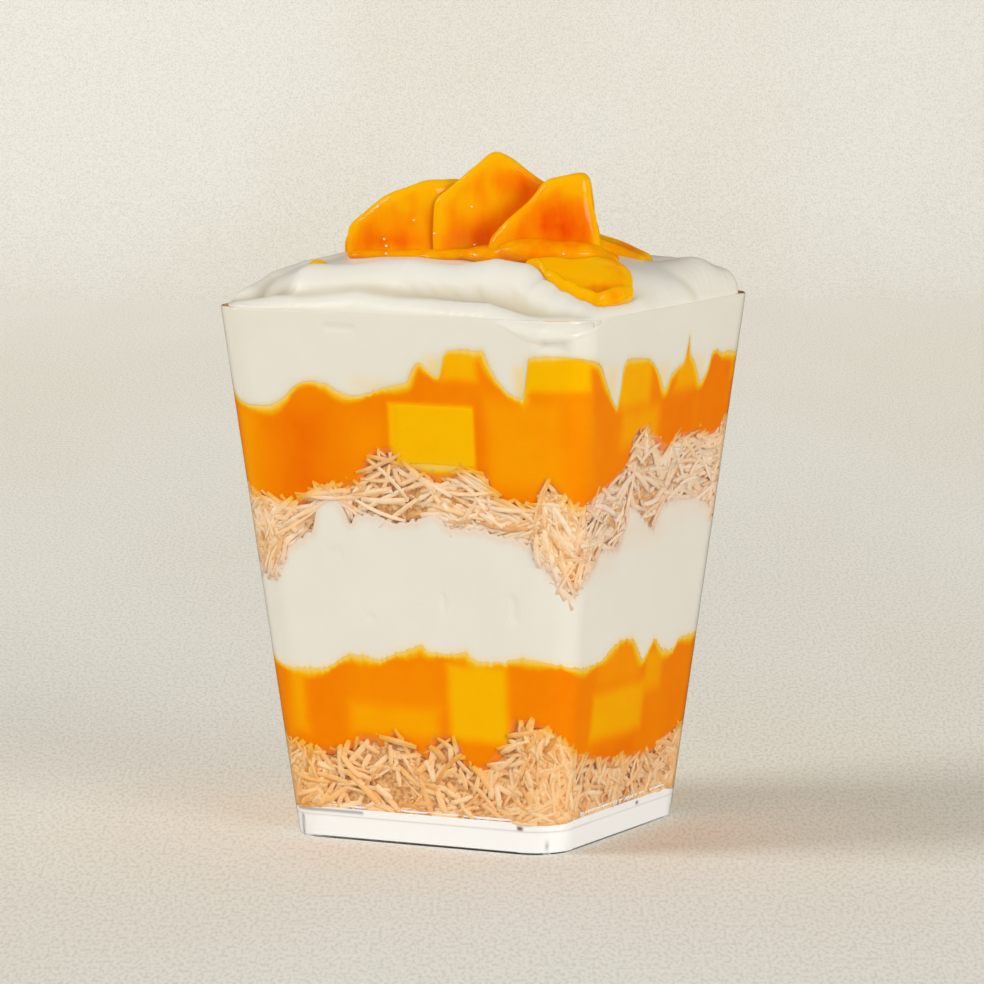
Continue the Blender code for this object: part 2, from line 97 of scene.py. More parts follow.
def curve_slopes(where: Array, height: Array) -> Array:
    """The slopes that carry a curve through its marks without overshooting any.

    Args:
        where: the marks' places, in rising order.
        height: their heights.

    Returns:
        A slope for each mark.
    """
    run = np.diff(where)
    rise = np.diff(height) / run
    first, last = 2 * run[1:] + run[:-1], run[1:] + 2 * run[:-1]
    same = rise[1:] * rise[:-1] > 0
    before, after = np.where(same, rise[:-1], 1), np.where(same, rise[1:], 1)
    middle = np.where(same, (first + last) / (first / before + last / after), 0)
    return np.array([0, *middle, 0])


def coordinates(mesh: bpy.types.Mesh) -> Array:
    """The vertices of a mesh, a row each.

    Args:
        mesh: the mesh.

    Returns:
        Rows of x, y and z.
    """
    flat = np.empty(len(mesh.vertices) * 3)
    mesh.vertices.foreach_get("co", flat)
    return flat.reshape(-1, 3)


def place_vertices(mesh: bpy.types.Mesh, points: Array) -> None:
    """Move every vertex of a mesh to its row of points."""
    mesh.vertices.foreach_set("co", np.asarray(points, float).ravel())
    mesh.update()


def paint(mesh: bpy.types.Mesh, name: str, values: Array) -> None:
    """Store one number a vertex for the mesh's material to read."""
    made = mesh.attributes.new(name, "FLOAT", "POINT")
    made.data.foreach_set("value", np.asarray(values, np.float32))


def mesh_of(name: str, bm: bmesh.types.BMesh) -> bpy.types.Mesh:
    """A smooth-shaded mesh of a bmesh, which is freed.

    Args:
        name: the mesh's name.
        bm: the shape.

    Returns:
        The mesh.
    """
    mesh = bpy.data.meshes.new(name)
    for face in bm.faces:
        face.smooth = True
    bm.to_mesh(mesh)
    bm.free()
    return mesh


def add_piece(name: str, mesh: bpy.types.Mesh, material: bpy.types.Material,
              nodes: Iterable[str] = ()) -> bpy.types.Object:
    """Put a finished mesh in the scene as a piece of the dessert.

    Args:
        name: the piece's name.
        mesh: its mesh, in its true place.
        material: its finish.
        nodes: the CAD nodes that it stands for.

    Returns:
        The new object.
    """
    mesh.materials.append(material)
    piece = bpy.data.objects.new(name, mesh)
    bpy.context.scene.collection.objects.link(piece)
    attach(piece, BODY)
    if nodes:
        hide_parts(*nodes)
    LOG.info("%s: %d faces", name, len(mesh.polygons))
    return piece


def ring_stack(segments: int, rows: int) -> bmesh.types.BMesh:
    """A closed stack of unit rings, one metre apart.

    Args:
        segments: the number of points round each ring.
        rows: the number of rings.

    Returns:
        The stack, with its first ring at the origin.
    """
    bm = bmesh.new()
    bmesh.ops.create_circle(bm, cap_ends=True, segments=segments, radius=1)
    edges = bm.edges[:]
    for _ in range(rows - 1):
        grown = bmesh.ops.extrude_edge_only(bm, edges=edges)["geom"]
        verts = {item for item in grown if isinstance(item, bmesh.types.BMVert)}
        bmesh.ops.translate(bm, vec=(0, 0, 1), verts=list(verts))
        edges = [item for item in grown
                 if isinstance(item, bmesh.types.BMEdge) and verts.issuperset(item.verts)]
    bmesh.ops.contextual_create(bm, geom=edges)
    bmesh.ops.recalc_face_normals(bm, faces=bm.faces[:])
    return bm


def wrap_stack(name: str, places: Array, rows: int,
               shape: Callable[[Array, Array], Array]) -> tuple[bpy.types.Mesh, Array]:
    """A ring stack carried to its true shape.

    Args:
        name: the mesh's name.
        places: the place round the wall of each segment.
        rows: the number of rings.
        shape: gives the points for arrays of places and row numbers.

    Returns:
        The mesh, and the place of each vertex.
    """
    mesh = mesh_of(name, ring_stack(len(places), rows))
    unit = coordinates(mesh)
    segment = np.round(np.arctan2(unit[:, 1], unit[:, 0]) / math.tau * len(places)).astype(int)
    row = np.round(unit[:, 2]).astype(int)
    place = places[segment % len(places)]
    place_vertices(mesh, shape(place, row))
    return mesh, place


def face_outwards(mesh: bpy.types.Mesh, flat_area: float = math.inf) -> None:
    """Turn a closed mesh's faces outwards, and shade those above an area flat.

    Args:
        mesh: the mesh.
        flat_area: the area from which a face is flat.
    """
    bm = bmesh.new()
    bm.from_mesh(mesh)
    bmesh.ops.recalc_face_normals(bm, faces=bm.faces[:])
    for face in bm.faces:
        face.smooth = face.calc_area() < flat_area
    bm.to_mesh(mesh)
    bm.free()


# ---------------------------------------------------------------- the cup's plan

@dataclass(frozen=True)
class CupPlan:
    """The cup's rounded square section, which tapers to its foot."""

    height: float = 80 * MM
    foot_half: float = 22.4 * MM
    rim_half: float = 30.9 * MM
    corner: float = 6 * MM
    wall: float = 1.3 * MM
    floor_top: float = 4.8 * MM
    floor_underside: float = 3.6 * MM
    flat_share: float = 0.84

    def outer_half(self, z: Array) -> Array:
        """Half the cup's outer width at a height."""
        return between(self.foot_half, self.rim_half, z / self.height)

    def bend(self, along: Array) -> Array:
        """How far round its corner a place is, from the middle of its side."""
        past = np.clip(np.abs(along) - self.flat_share, 0, None) / (1 - self.flat_share)
        return np.copysign(past * math.pi / 4, along)

    def outline(self, place: Array, z: Array, inset: Array) -> Array:
        """Points at places on the section, an inset within its outside.

        Args:
            place: places round the wall.
            z: heights.
            inset: distances inwards from the cup's outside.

        Returns:
            One row of x, y and z a point.
        """
        side = np.round(place / 2)
        along = place - 2 * side
        radius = self.corner - inset
        flat = self.outer_half(z) - self.corner
        bend = self.bend(along)
        x = flat + radius * np.cos(bend)
        y = flat * np.clip(along / self.flat_share, -1, 1) + radius * np.sin(bend)
        turn = side * math.pi / 2
        parts = (x * np.cos(turn) - y * np.sin(turn), x * np.sin(turn) + y * np.cos(turn), z)
        return np.stack(np.broadcast_arrays(*parts), axis=-1)

    def normal(self, place: Array) -> Array:
        """The wall's outward directions at places.

        Args:
            place: places round the wall.

        Returns:
            A unit vector for each place.
        """
        side = np.round(place / 2)
        turn = side * math.pi / 2 + self.bend(place - 2 * side)
        lean = (self.rim_half - self.foot_half) / self.height
        axis = np.stack([np.cos(turn), np.sin(turn), np.full_like(turn, -lean)], axis=-1)
        return axis / math.sqrt(1 + lean * lean)

    def length_per_place(self, z: Array) -> Array:
        """How far one whole place is along the wall at a height."""
        return (self.outer_half(z) - self.corner) / self.flat_share

    def place_on(self, side: Array, offset: Array, z: Array) -> Array:
        """The place of a point on a side, an offset from the side's middle at a height."""
        return 2 * side + offset / self.length_per_place(z)

    def places(self, side_steps: int, corner_steps: int) -> Array:
        """Places all round the wall: even steps along each side and round each corner.

        Args:
            side_steps: steps along a side's flat part.
            corner_steps: steps round a corner.

        Returns:
            The places, in turn round the cup.
        """
        found: list[float] = []
        for side in Side:
            span = np.linspace(-self.flat_share, self.flat_share, side_steps, endpoint=False)
            arc = np.linspace(self.flat_share, 2 - self.flat_share, corner_steps, endpoint=False)
            found += [*(2 * side + span), *(2 * side + arc)]
        return np.array(found)


PLAN = CupPlan()


# ---------------------------------------------------------------- borders and patches

@dataclass
class Border:
    """A wavy border between two layers, level in the middle of the cup.

    The crests and dips of the front and right sides are given as (offset, height) in mm, and
    those of the other two sides are drawn.
    """

    level: float
    swing: float
    seed: int
    front: Sequence[tuple[float, float]] = ()
    right: Sequence[tuple[float, float]] = ()
    ripple: float = 0.1
    drawn_places: tuple[float, float] = (1.15, 4.85)
    drawn_step: tuple[float, float] = (0.14, 0.34)
    ripple_waves: tuple[int, int] = (70, 260)
    ripple_count: int = 9
    search: float = 1.8 * MM
    search_steps: int = 16

    def __post_init__(self) -> None:
        """Draw the unseen crests and dips, and the small ripples."""
        draw = random.Random(self.seed)
        marks = [(PLAN.place_on(Side.FRONT, x * MM, z * MM), z) for x, z in self.front]
        marks += [(PLAN.place_on(Side.RIGHT, y * MM, z * MM), z) for y, z in self.right]
        place, crest = self.drawn_places[0], self.swing
        while self.swing and place < self.drawn_places[1]:
            marks.append((place, self.level + crest * draw.uniform(-0.25, 1)))
            place += draw.uniform(*self.drawn_step)
            crest = -crest
        marks = sorted((place % 8, z) for place, z in marks) or [(0, self.level), (4, self.level)]
        marks = [*((place - 8, z) for place, z in marks[-2:]), *marks,
                 *((place + 8, z) for place, z in marks[:2])]
        self.mark_places = np.array([place for place, _ in marks])
        self.mark_heights = np.array([z for _, z in marks]) * MM
        self.mark_slopes = curve_slopes(self.mark_places, self.mark_heights)
        self.waves = [(draw.randint(*self.ripple_waves), draw.uniform(0, math.tau))
                      for _ in range(self.ripple_count)]

    def height(self, place: Array) -> Array:
        """The border's height at the wall.

        Args:
            place: places round the wall.

        Returns:
            Heights in metres.
        """
        place = np.asarray(place) % 8
        after = np.searchsorted(self.mark_places, place, side="right")
        after = np.clip(after, 1, len(self.mark_places) - 1)
        start, run = self.mark_places[after - 1], np.diff(self.mark_places)[after - 1]
        share = (place - start) / run
        rest = 1 - share
        wave = ((1 + 2 * share) * rest ** 2 * self.mark_heights[after - 1]
                + share * rest ** 2 * run * self.mark_slopes[after - 1]
                + share ** 2 * (3 - 2 * share) * self.mark_heights[after]
                - share ** 2 * rest * run * self.mark_slopes[after])
        small = sum(np.sin(math.tau * count * place / 8 + phase) for count, phase in self.waves)
        return wave + small * self.ripple * MM / 3

    def slope(self, place: Array, step: float = 0.004) -> Array:
        """How steeply the border rises along the wall."""
        rise = self.height(place + step) - self.height(place - step)
        return rise / (2 * step * PLAN.length_per_place(self.level * MM))

    def distance(self, place: Array, z: Array) -> Array:
        """How far points at the wall are above the border, by the shortest way across it.

        Args:
            place: the points' places round the wall.
            z: their heights.

        Returns:
            Distances in metres, below 0 for points under the border.
        """
        straight = z - self.height(place)
        away = np.abs(straight)
        for step in np.linspace(-self.search, self.search, self.search_steps):
            rise = z - self.height(place + step / PLAN.length_per_place(z))
            away = np.minimum(away, np.hypot(step, rise))
        return np.copysign(away, straight)


FLOOR = Border(4.45, 0, 0, ripple=0)
KUNAFA_BOTTOM_TOP = Border(
    14.2, 1.8, 11, ripple=0.15, drawn_step=(0.12, 0.28),
    front=[(-20.1, 13.7), (-15, 13.0), (-11.2, 14.1), (-8.0, 15.5), (-5.6, 14.9), (-3.6, 16.2),
           (-1.1, 14.8), (1.5, 13.4), (3.4, 16.0), (5.5, 16.3), (6.8, 15.4), (7.7, 12.7),
           (10.6, 12.1), (13.2, 13.9), (15.5, 16.8), (17.0, 19.7), (19.1, 19.4)],
    right=[(-20.8, 17.2), (-18.5, 15.2), (-15.7, 13.6), (-9.2, 12.4), (2.8, 11.2), (9.3, 11.1),
           (13.6, 12.5), (18.1, 13.3)])
MANGO_LOWER_TOP = Border(
    28.2, 1.3, 12, ripple=0.15, drawn_step=(0.1, 0.26),
    front=[(-20.3, 25.8), (-15, 25.9), (-12.2, 27.2), (-10.4, 28.3), (-7.7, 28.3), (-5.6, 27.8),
           (-2.4, 29.0), (-0.2, 29.7), (1.6, 30.5), (3.3, 29.5), (6.3, 29.4), (9.3, 29.9),
           (10.1, 29.1), (11.8, 28.6), (15.3, 28.8), (18.3, 29.6), (20.6, 29.4)],
    right=[(-20.2, 28.1), (-17.1, 27.7), (-11.8, 28.0), (-8.6, 29.5), (-5.2, 30.3),
           (-1.5, 30.0), (0.7, 28.3), (3.0, 26.4), (5.3, 28.2), (6.3, 29.0), (9.3, 27.2),
           (13.1, 26.5), (15.6, 28.0), (20.4, 28.2)])
CREAM_MIDDLE_TOP = Border(
    46.0, 2.4, 13, ripple=0.2, drawn_step=(0.1, 0.28),
    front=[(-25.6, 41.3), (-22.4, 39.8), (-21.0, 41.7), (-20.0, 43.5), (-17.3, 45.7),
           (-15.3, 47.1), (-14.2, 51.2), (-11.6, 51.9), (-10.2, 50.5), (-9.2, 48.2),
           (-7.7, 49.6), (-4.6, 49.8), (-1.9, 48.7), (2.1, 49.4), (4.9, 50.3), (7.6, 48.4),
           (12.2, 48.6), (15.1, 47.8), (18.6, 47.4), (21.1, 46.1), (22.8, 43.8)],
    right=[(-24.0, 40.4), (-22.4, 39.0), (-20.8, 40.8), (-17.2, 42.7), (-15.0, 44.8),
           (-9.6, 44.5), (-7.6, 47.5), (-6.6, 50.4), (-1.5, 48.1), (2.4, 46.1), (4.4, 49.2),
           (8.4, 50.0), (14.9, 49.6), (20.9, 48.0), (23.4, 46.0)])
KUNAFA_UPPER_TOP = Border(
    55.5, 2.6, 14, ripple=0.15, drawn_step=(0.1, 0.3),
    front=[(-25.8, 51.2), (-22.5, 51.3), (-20.5, 50.6), (-17.6, 50.6), (-15.8, 52.0),
           (-14.4, 52.9), (-11.8, 53.3), (-8.6, 53.7), (-6.8, 54.7), (-6.0, 56.3),
           (-5.2, 57.8), (-4.1, 58.7), (-1.9, 59.2), (-0.7, 57.6), (2.5, 56.6), (5.7, 55.3),
           (8.0, 56.0), (11.0, 56.8), (13.5, 56.0), (14.5, 53.1), (16.6, 52.6), (21.4, 52.0),
           (22.7, 53.3), (23.4, 55.6), (25.2, 54.2)],
    right=[(-25.4, 52.2), (-22.9, 51.0), (-20.7, 52.2), (-17.0, 53.6), (-12.0, 55.4),
           (-8.7, 57.1), (-7.8, 60.3), (-5.4, 61.8), (-0.9, 60.2), (4.5, 58.0), (7.6, 59.3),
           (14.0, 59.3), (19.9, 58.4), (23.3, 59.6), (25.2, 61.0)])
MANGO_UPPER_TOP = Border(
    70.0, 2.6, 15, ripple=0.08, drawn_step=(0.09, 0.28),
    front=[(-28.6, 66.4), (-26.8, 65.6), (-24.4, 65.2), (-21.8, 65.3), (-19.2, 66.5),
           (-16.8, 68.6), (-14.5, 69.3), (-12.4, 69.1), (-8.9, 67.6), (-7.0, 67.4),
           (-5.1, 67.8), (-2.8, 68.7), (0.1, 69.4), (1.6, 69.9), (2.5, 71.5), (3.8, 72.9),
           (5.3, 71.6), (6.8, 70.9), (7.4, 72.2), (8.0, 74.3), (9.2, 74.9), (11.7, 75.1),
           (13.2, 74.9), (14.2, 75.1), (14.9, 73.4), (16.9, 70.2), (18.4, 68.8),
           (20.4, 68.2), (21.0, 70.2), (21.5, 73.9), (22.8, 74.5), (26.8, 74.6)],
    right=[(-25.8, 74.0), (-22.0, 73.0), (-20.3, 71.1), (-18.5, 69.2), (-16.7, 67.3),
           (-15.1, 66.1), (-14.5, 68.0), (-13.9, 72.1), (-12.8, 73.1), (-10.6, 73.0),
           (-5.8, 72.5), (-2.7, 71.0), (-0.9, 69.4), (1.2, 67.4), (2.6, 69.1), (5.1, 70.3),
           (7.0, 70.9), (7.7, 72.4), (8.2, 75.0), (8.8, 72.2), (10.3, 71.1), (11.9, 69.4),
           (13.5, 67.5), (15.9, 69.1), (16.9, 71.4), (18.5, 71.9), (20.4, 71.2),
           (23.3, 71.3), (25.9, 70.9)])
SWIRL_CONTACT = Border(
    80.2, 0.25, 16, ripple=0.06,
    front=[(-24, 80.2), (14, 80.0), (20, 77.6), (23.5, 76.4)],
    right=[(-24, 78.2), (-18, 80.0), (24, 80.3)])


@dataclass(frozen=True)
class Patch:
    """A soft-edged patch on a side: its middle and size in mm, its value and its softness."""

    side: Side
    offset: float
    z: float
    width: float
    height: float
    value: float
    softness: float = 1.5

    def mask(self, place: Array, z: Array) -> Array:
        """How far points at the wall are inside the patch, from 0 to 1.

        Args:
            place: the points' places round the wall.
            z: their heights.

        Returns:
            A share for each point.
        """
        turn = (place - 2 * self.side + 4) % 8 - 4
        across = np.abs(turn * PLAN.length_per_place(z) / MM - self.offset) - self.width / 2
        rise = np.abs(z / MM - self.z) - self.height / 2
        outside = np.hypot(np.clip(across, 0, None), np.clip(rise, 0, None))
        away = outside + np.minimum(np.maximum(across, rise), 0)
        return 1 - smooth((away / self.softness + 1) / 2)


def painted(base: float, patches: Iterable[Patch], place: Array, z: Array) -> Array:
    """The values at points of the wall, with each patch laid over those before it.

    Args:
        base: the value where no patch is.
        patches: the patches.
        place: the points' places round the wall.
        z: their heights.

    Returns:
        A value for each point.
    """
    values = np.full(np.shape(z), float(base))
    for patch in patches:
        values = between(values, patch.value, patch.mask(place, z))
    return values


# ---------------------------------------------------------------- finishes

class Mixture:
    """A node tree being filled."""

    def __init__(self, tree: bpy.types.NodeTree) -> None:
        """Start on a tree."""
        self.tree = tree

    def feed(self, node: bpy.types.Node, **values: object) -> bpy.types.Node:
        """Set a node's sockets, named with _ for a space, to values or to other outputs.

        Args:
            node: the node.
            values: what each socket is given.

        Returns:
            The node.
        """
        for name, value in values.items():
            socket = node.inputs[name.replace("_", " ")]
            if isinstance(value, bpy.types.NodeSocket):
                self.tree.links.new(value, socket)
            else:
                socket.default_value = value
        return node

    def node(self, kind: str, **values: object) -> bpy.types.Node:
        """A new shader node of a kind, with its sockets fed."""
        return self.feed(self.tree.nodes.new(f"ShaderNode{kind}"), **values)

    def math(self, operation: str, first: object, second: object = 0.0) -> bpy.types.NodeSocket:
        """One sum of two numbers or outputs.

        Args:
            operation: the sum's name.
            first: a number or an output.
            second: another.

        Returns:
            The result.
        """
        made = self.tree.nodes.new("ShaderNodeMath")
        made.operation = operation
        for socket, value in zip(made.inputs, (first, second)):
            if isinstance(value, bpy.types.NodeSocket):
                self.tree.links.new(value, socket)
            else:
                socket.default_value = value
        return made.outputs[0]

    def mirrored(self) -> bpy.types.NodeSocket:
        """1 where a surface shows what it mirrors from outside it, and 0 elsewhere.

        Returns:
            The output that holds it.
        """
        path = self.node("LightPath").outputs
        gloss = self.math("MULTIPLY", path["Is Glossy Ray"], path["Is Reflection Ray"])
        return self.math("MULTIPLY", gloss,
                         self.math("LESS_THAN", path["Transmission Depth"], 0.5))


class Recipe(Mixture):
    """A material being mixed: its node tree and its Principled shader."""

    def __init__(self, name: str) -> None:
        """Start a material of one Principled shader.

        Args:
            name: the material's name.
        """
        self.material = bpy.data.materials.new(name)
        self.material.use_nodes = True
        super().__init__(self.material.node_tree)
        self.shader = self.tree.nodes["Principled BSDF"]
        self.output = self.tree.nodes["Material Output"]

    def attribute(self, name: str) -> bpy.types.NodeSocket:
        """The number that the mesh stores under a name.

        Args:
            name: the attribute's name.

        Returns:
            The output that holds it.
        """
        made = self.node("Attribute")
        made.attribute_name = name
        return made.outputs["Fac"]

    def noise(self, scale: float, detail: float = 2.0,
              stretch: tuple[float, float, float] = (1, 1, 1)) -> bpy.types.NodeSocket:
        """Cloudy noise on the object's own coordinates, scale times a metre.

        Args:
            scale: how many clouds there are to a metre.
            detail: how fine they break up.
            stretch: the scale along X, Y and Z.

        Returns:
            The noise, from 0 to 1.
        """
        where = self.node("TexCoord").outputs["Object"]
        turned = self.node("Mapping", Vector=where, Scale=stretch)
        return self.node("TexNoise", Vector=turned.outputs["Vector"], Scale=scale,
                         Detail=detail).outputs["Fac"]

    def ramp(self, share: bpy.types.NodeSocket,
             stops: Sequence[tuple[float, Colour]]) -> bpy.types.NodeSocket:
        """A colour that runs through stops of (share, colour).

        Args:
            share: where on the ramp to look.
            stops: the ramp's stops.

        Returns:
            The colour.
        """
        made = self.node("ValToRGB", Fac=share)
        elements = made.color_ramp.elements
        while len(elements) < len(stops):
            elements.new(0.5)
        for element, (where, colour) in zip(elements, stops):
            element.position = where
            element.color = colour
        return made.outputs["Color"]

    def mix(self, share: object, first: object, second: object) -> bpy.types.NodeSocket:
        """A colour between two others.

        Args:
            share: how much of the second there is.
            first: a colour or an output.
            second: another.

        Returns:
            The mixed colour.
        """
        made = self.tree.nodes.new("ShaderNodeMix")
        made.data_type = "RGBA"
        for index, value in ((0, share), (6, first), (7, second)):
            if isinstance(value, bpy.types.NodeSocket):
                self.tree.links.new(value, made.inputs[index])
            else:
                made.inputs[index].default_value = value
        return made.outputs[2]

    def bump(self, height: bpy.types.NodeSocket, distance: float,
             strength: float = 1.0) -> None:
        """Relief on the shader's normal, as deep as distance."""
        made = self.node("Bump", Height=height, Distance=distance, Strength=strength)
        self.feed(self.shader, Normal=made.outputs["Normal"])


@dataclass(frozen=True)
class ClearPlasticFinish:
    """Clear, glossy plastic that lets lamps through to what is behind it."""

    ior: float = 1.49
    roughness: float = 0.012

    def make(self) -> bpy.types.Material:
        """Mix the material.

        Returns:
            The material.
        """
        recipe = Recipe("clear_plastic_look")
        recipe.feed(recipe.shader, Base_Color=(1, 1, 1, 1), Roughness=self.roughness,
                    IOR=self.ior, Transmission_Weight=1.0)
        path = recipe.node("LightPath")
        lamp = recipe.math("MAXIMUM", path.outputs["Is Shadow Ray"],
                           path.outputs["Is Diffuse Ray"])
        mix = recipe.node("MixShader", Fac=lamp)
        recipe.tree.links.new(recipe.shader.outputs["BSDF"], mix.inputs[1])
        recipe.tree.links.new(recipe.node("BsdfTransparent").outputs[0], mix.inputs[2])
        recipe.tree.links.new(mix.outputs[0], recipe.output.inputs["Surface"])
        return recipe.material


@dataclass(frozen=True)
class CreamFinish:
    """Thick, soft cream, stained yellow where mango shows through its edge."""

    name: str = "cream_look"
    body: Colour = linear(241, 237, 225)
    shade: Colour = linear(234, 229, 215)
    stain: Colour = linear(250, 214, 120)
    crumb: Colour = linear(238, 206, 178)
    # painted shade: the darker, yellower cream put into the creases of the swirl
    crease_shade: Colour = linear(214, 200, 168)
    roughness: float = 0.3
    ior: float = 1.4
    gloss: float = 0.5
    subsurface: float = 0.5
    glow_reach: tuple[float, float, float] = (1.6, 1.4, 1.1)
    lump_scale: float = 110.0
    grain_scale: float = 300.0
    grain_height: float = 0.1 * MM
    grain_strength: float = 0.4

    def make(self) -> bpy.types.Material:
        """Mix the material.

        Returns:
            The material.
        """
        recipe = Recipe(self.name)
        cloud = recipe.noise(self.lump_scale, 3)
        body = recipe.mix(cloud, self.shade, self.body)
        # painted shade in the creases of the swirl
        body = recipe.mix(recipe.attribute("crease_shade"), body, self.crease_shade)
        crumbed = recipe.mix(recipe.attribute("crumb"), body, self.crumb)
        stained = recipe.mix(recipe.attribute("stain"), crumbed, self.stain)
        recipe.feed(recipe.shader, Base_Color=stained, Roughness=self.roughness,
                    IOR=self.ior, Specular_IOR_Level=self.gloss,
                    Subsurface_Weight=self.subsurface, Subsurface_Scale=MM,
                    Subsurface_Radius=self.glow_reach)
        if self.gloss:
            recipe.bump(recipe.noise(self.grain_scale, 1), self.grain_height,
                        self.grain_strength)
        return recipe.material


@dataclass(frozen=True)
class MangoFinish:
    """Mango from deep orange to yellow by its tone, pale where it thins out under cream."""

    name: str
    deep: Colour
    middle: Colour
    bright: Colour
    pale: Colour = linear(247, 214, 128)
    rim: Colour = linear(250, 190, 12)
    roughness: float = 0.4
    ior: float = 1.38
    gloss: float = 0.0
    coat: float = 0.0
    coat_roughness: float = 0.1
    grain: float = 0.1 * MM
    grain_strength: float = 0.4
    streaks: float = 0.0
    subsurface: float = 0.35
    glow_reach: tuple[float, float, float] = (2.2, 1.0, 0.2)
    cloud_scale: float = 230.0
    cloud_swing: float = 0.22
    fibre_scale: float = 430.0
    fibre_stretch: tuple[float, float, float] = (1, 1, 0.35)
    rim_swing: float = 1.6
    pale_from: float = 0.55
    pale_swing: float = 1.5

    def make(self) -> bpy.types.Material:
        """Mix the material.

        Returns:
            The material.
        """
        recipe = Recipe(self.name)
        cloud = recipe.math("MULTIPLY", recipe.noise(self.cloud_scale, 3), self.cloud_swing)
        shifted = recipe.math("ADD", recipe.attribute("tone"), cloud)
        fibres = recipe.noise(self.fibre_scale, 4, self.fibre_stretch)
        streaked = recipe.math("ADD", shifted, recipe.math("MULTIPLY", fibres, self.streaks))
        tone = recipe.math("SUBTRACT", streaked, (self.cloud_swing + self.streaks) / 2)
        flesh = recipe.ramp(tone, [(0.0, self.deep), (0.5, self.middle), (1.0, self.bright)])
        fringe = recipe.attribute("fringe")
        edged = recipe.mix(recipe.math("MULTIPLY", fringe, self.rim_swing), flesh, self.rim)
        thin = recipe.math("SUBTRACT", fringe, self.pale_from)
        thin = recipe.math("MAXIMUM", recipe.math("MULTIPLY", thin, self.pale_swing), 0.0)
        colour = recipe.mix(thin, edged, self.pale)
        recipe.feed(recipe.shader, Base_Color=colour, Roughness=self.roughness, IOR=self.ior,
                    Specular_IOR_Level=self.gloss, Subsurface_Weight=self.subsurface,
                    Subsurface_Scale=MM, Subsurface_Radius=self.glow_reach,
                    Coat_Weight=self.coat, Coat_Roughness=self.coat_roughness)
        if self.grain:
            recipe.bump(fibres, self.grain, self.grain_strength)
        return recipe.material


@dataclass(frozen=True)
class JuiceFinish:
    """Clear, glossy juice that sparkles."""

    body: Colour = linear(255, 214, 130)
    light: Colour = linear(255, 236, 190)
    cloud_scale: float = 900.0

    def make(self) -> bpy.types.Material:
        """Mix the material.

        Returns:
            The material.
        """
        recipe = Recipe("juice_look")
        tint = recipe.mix(recipe.noise(self.cloud_scale), self.body, self.light)
        recipe.feed(recipe.shader, Base_Color=tint, Roughness=0.05, IOR=1.5,
                    Coat_Weight=1.0, Coat_Roughness=0.03)
        return recipe.material


@dataclass(frozen=True)
class StrandFinish:
    """Toasted kunafa shreds, soaked with mango or cream at the layer's borders."""

    name: str = "kunafa_look"
    pale: Colour = linear(255, 230, 198)
    golden: Colour = linear(250, 206, 152)
    brown: Colour = linear(222, 152, 84)
    soaked: Colour = linear(248, 178, 30)
    creamed: Colour = linear(244, 222, 204)
    roughness: float = 0.55
    gloss: float = 0.15
    cloud_scale: float = 900.0
    cloud_swing: float = 0.4

    def make(self) -> bpy.types.Material:
        """Mix the material.

        Returns:
            The material.
        """
        recipe = Recipe(self.name)
        cloud = recipe.math("MULTIPLY", recipe.noise(self.cloud_scale, 1), self.cloud_swing)
        shifted = recipe.math("ADD", recipe.attribute("tone"), cloud)
        tone = recipe.math("SUBTRACT", shifted, self.cloud_swing / 2)
        toasted = recipe.ramp(tone, [(0.0, self.brown), (0.45, self.golden), (1.0, self.pale)])
        soaked = recipe.mix(recipe.attribute("soak"), toasted, self.soaked)
        colour = recipe.mix(recipe.attribute("coat"), soaked, self.creamed)
        recipe.feed(recipe.shader, Base_Color=colour, Roughness=self.roughness, IOR=1.45,
                    Specular_IOR_Level=self.gloss)
        return recipe.material


@dataclass(frozen=True)
class CoreFinish:
    """The inside of a heap of kunafa, painted darker than the shreds as the shade deep between
    them.
    """

    # painted shade: both colours are darker than the shreds', for the shade deep in the heap
    light: Colour = linear(240, 190, 126)
    dark: Colour = linear(206, 138, 72)
    crumb_scale: float = 1500.0
    crumb_height: float = 0.5 * MM

    def make(self) -> bpy.types.Material:
        """Mix the material.

        Returns:
            The material.
        """
        recipe = Recipe("kunafa_core_painted_shade_look")
        crumb = recipe.noise(self.crumb_scale, 1)
        colour = recipe.ramp(crumb, [(0.35, self.dark), (0.65, self.light)])
        recipe.feed(recipe.shader, Base_Color=colour, Roughness=0.8, Specular_IOR_Level=0.1)
        recipe.bump(crumb, self.crumb_height)
        return recipe.material


@dataclass(frozen=True)
class PaintedFootLightFinish:
    """The whitish, finely frosted underside of the cup's foot, whose white is painted light for
    the light that the clear foot catches.
    """

    # painted light: a near-white that stands in for the light caught in the foot
    body: Colour = linear(254, 254, 252)
    shade: Colour = linear(120, 98, 86)
    roughness: float = 0.5
    frost_scale: float = 900.0
    frost_height: float = 0.03 * MM
    frost_strength: float = 0.3

    def make(self) -> bpy.types.Material:
        """Mix the material.

        Returns:
            The material.
        """
        recipe = Recipe("foot_painted_light_look")
        shaded = recipe.mix(recipe.attribute("shade"), self.body, self.shade)
        recipe.feed(recipe.shader, Base_Color=shaded, Roughness=self.roughness,
                    Specular_IOR_Level=0.2)
        recipe.bump(recipe.noise(self.frost_scale), self.frost_height, self.frost_strength)
        return recipe.material


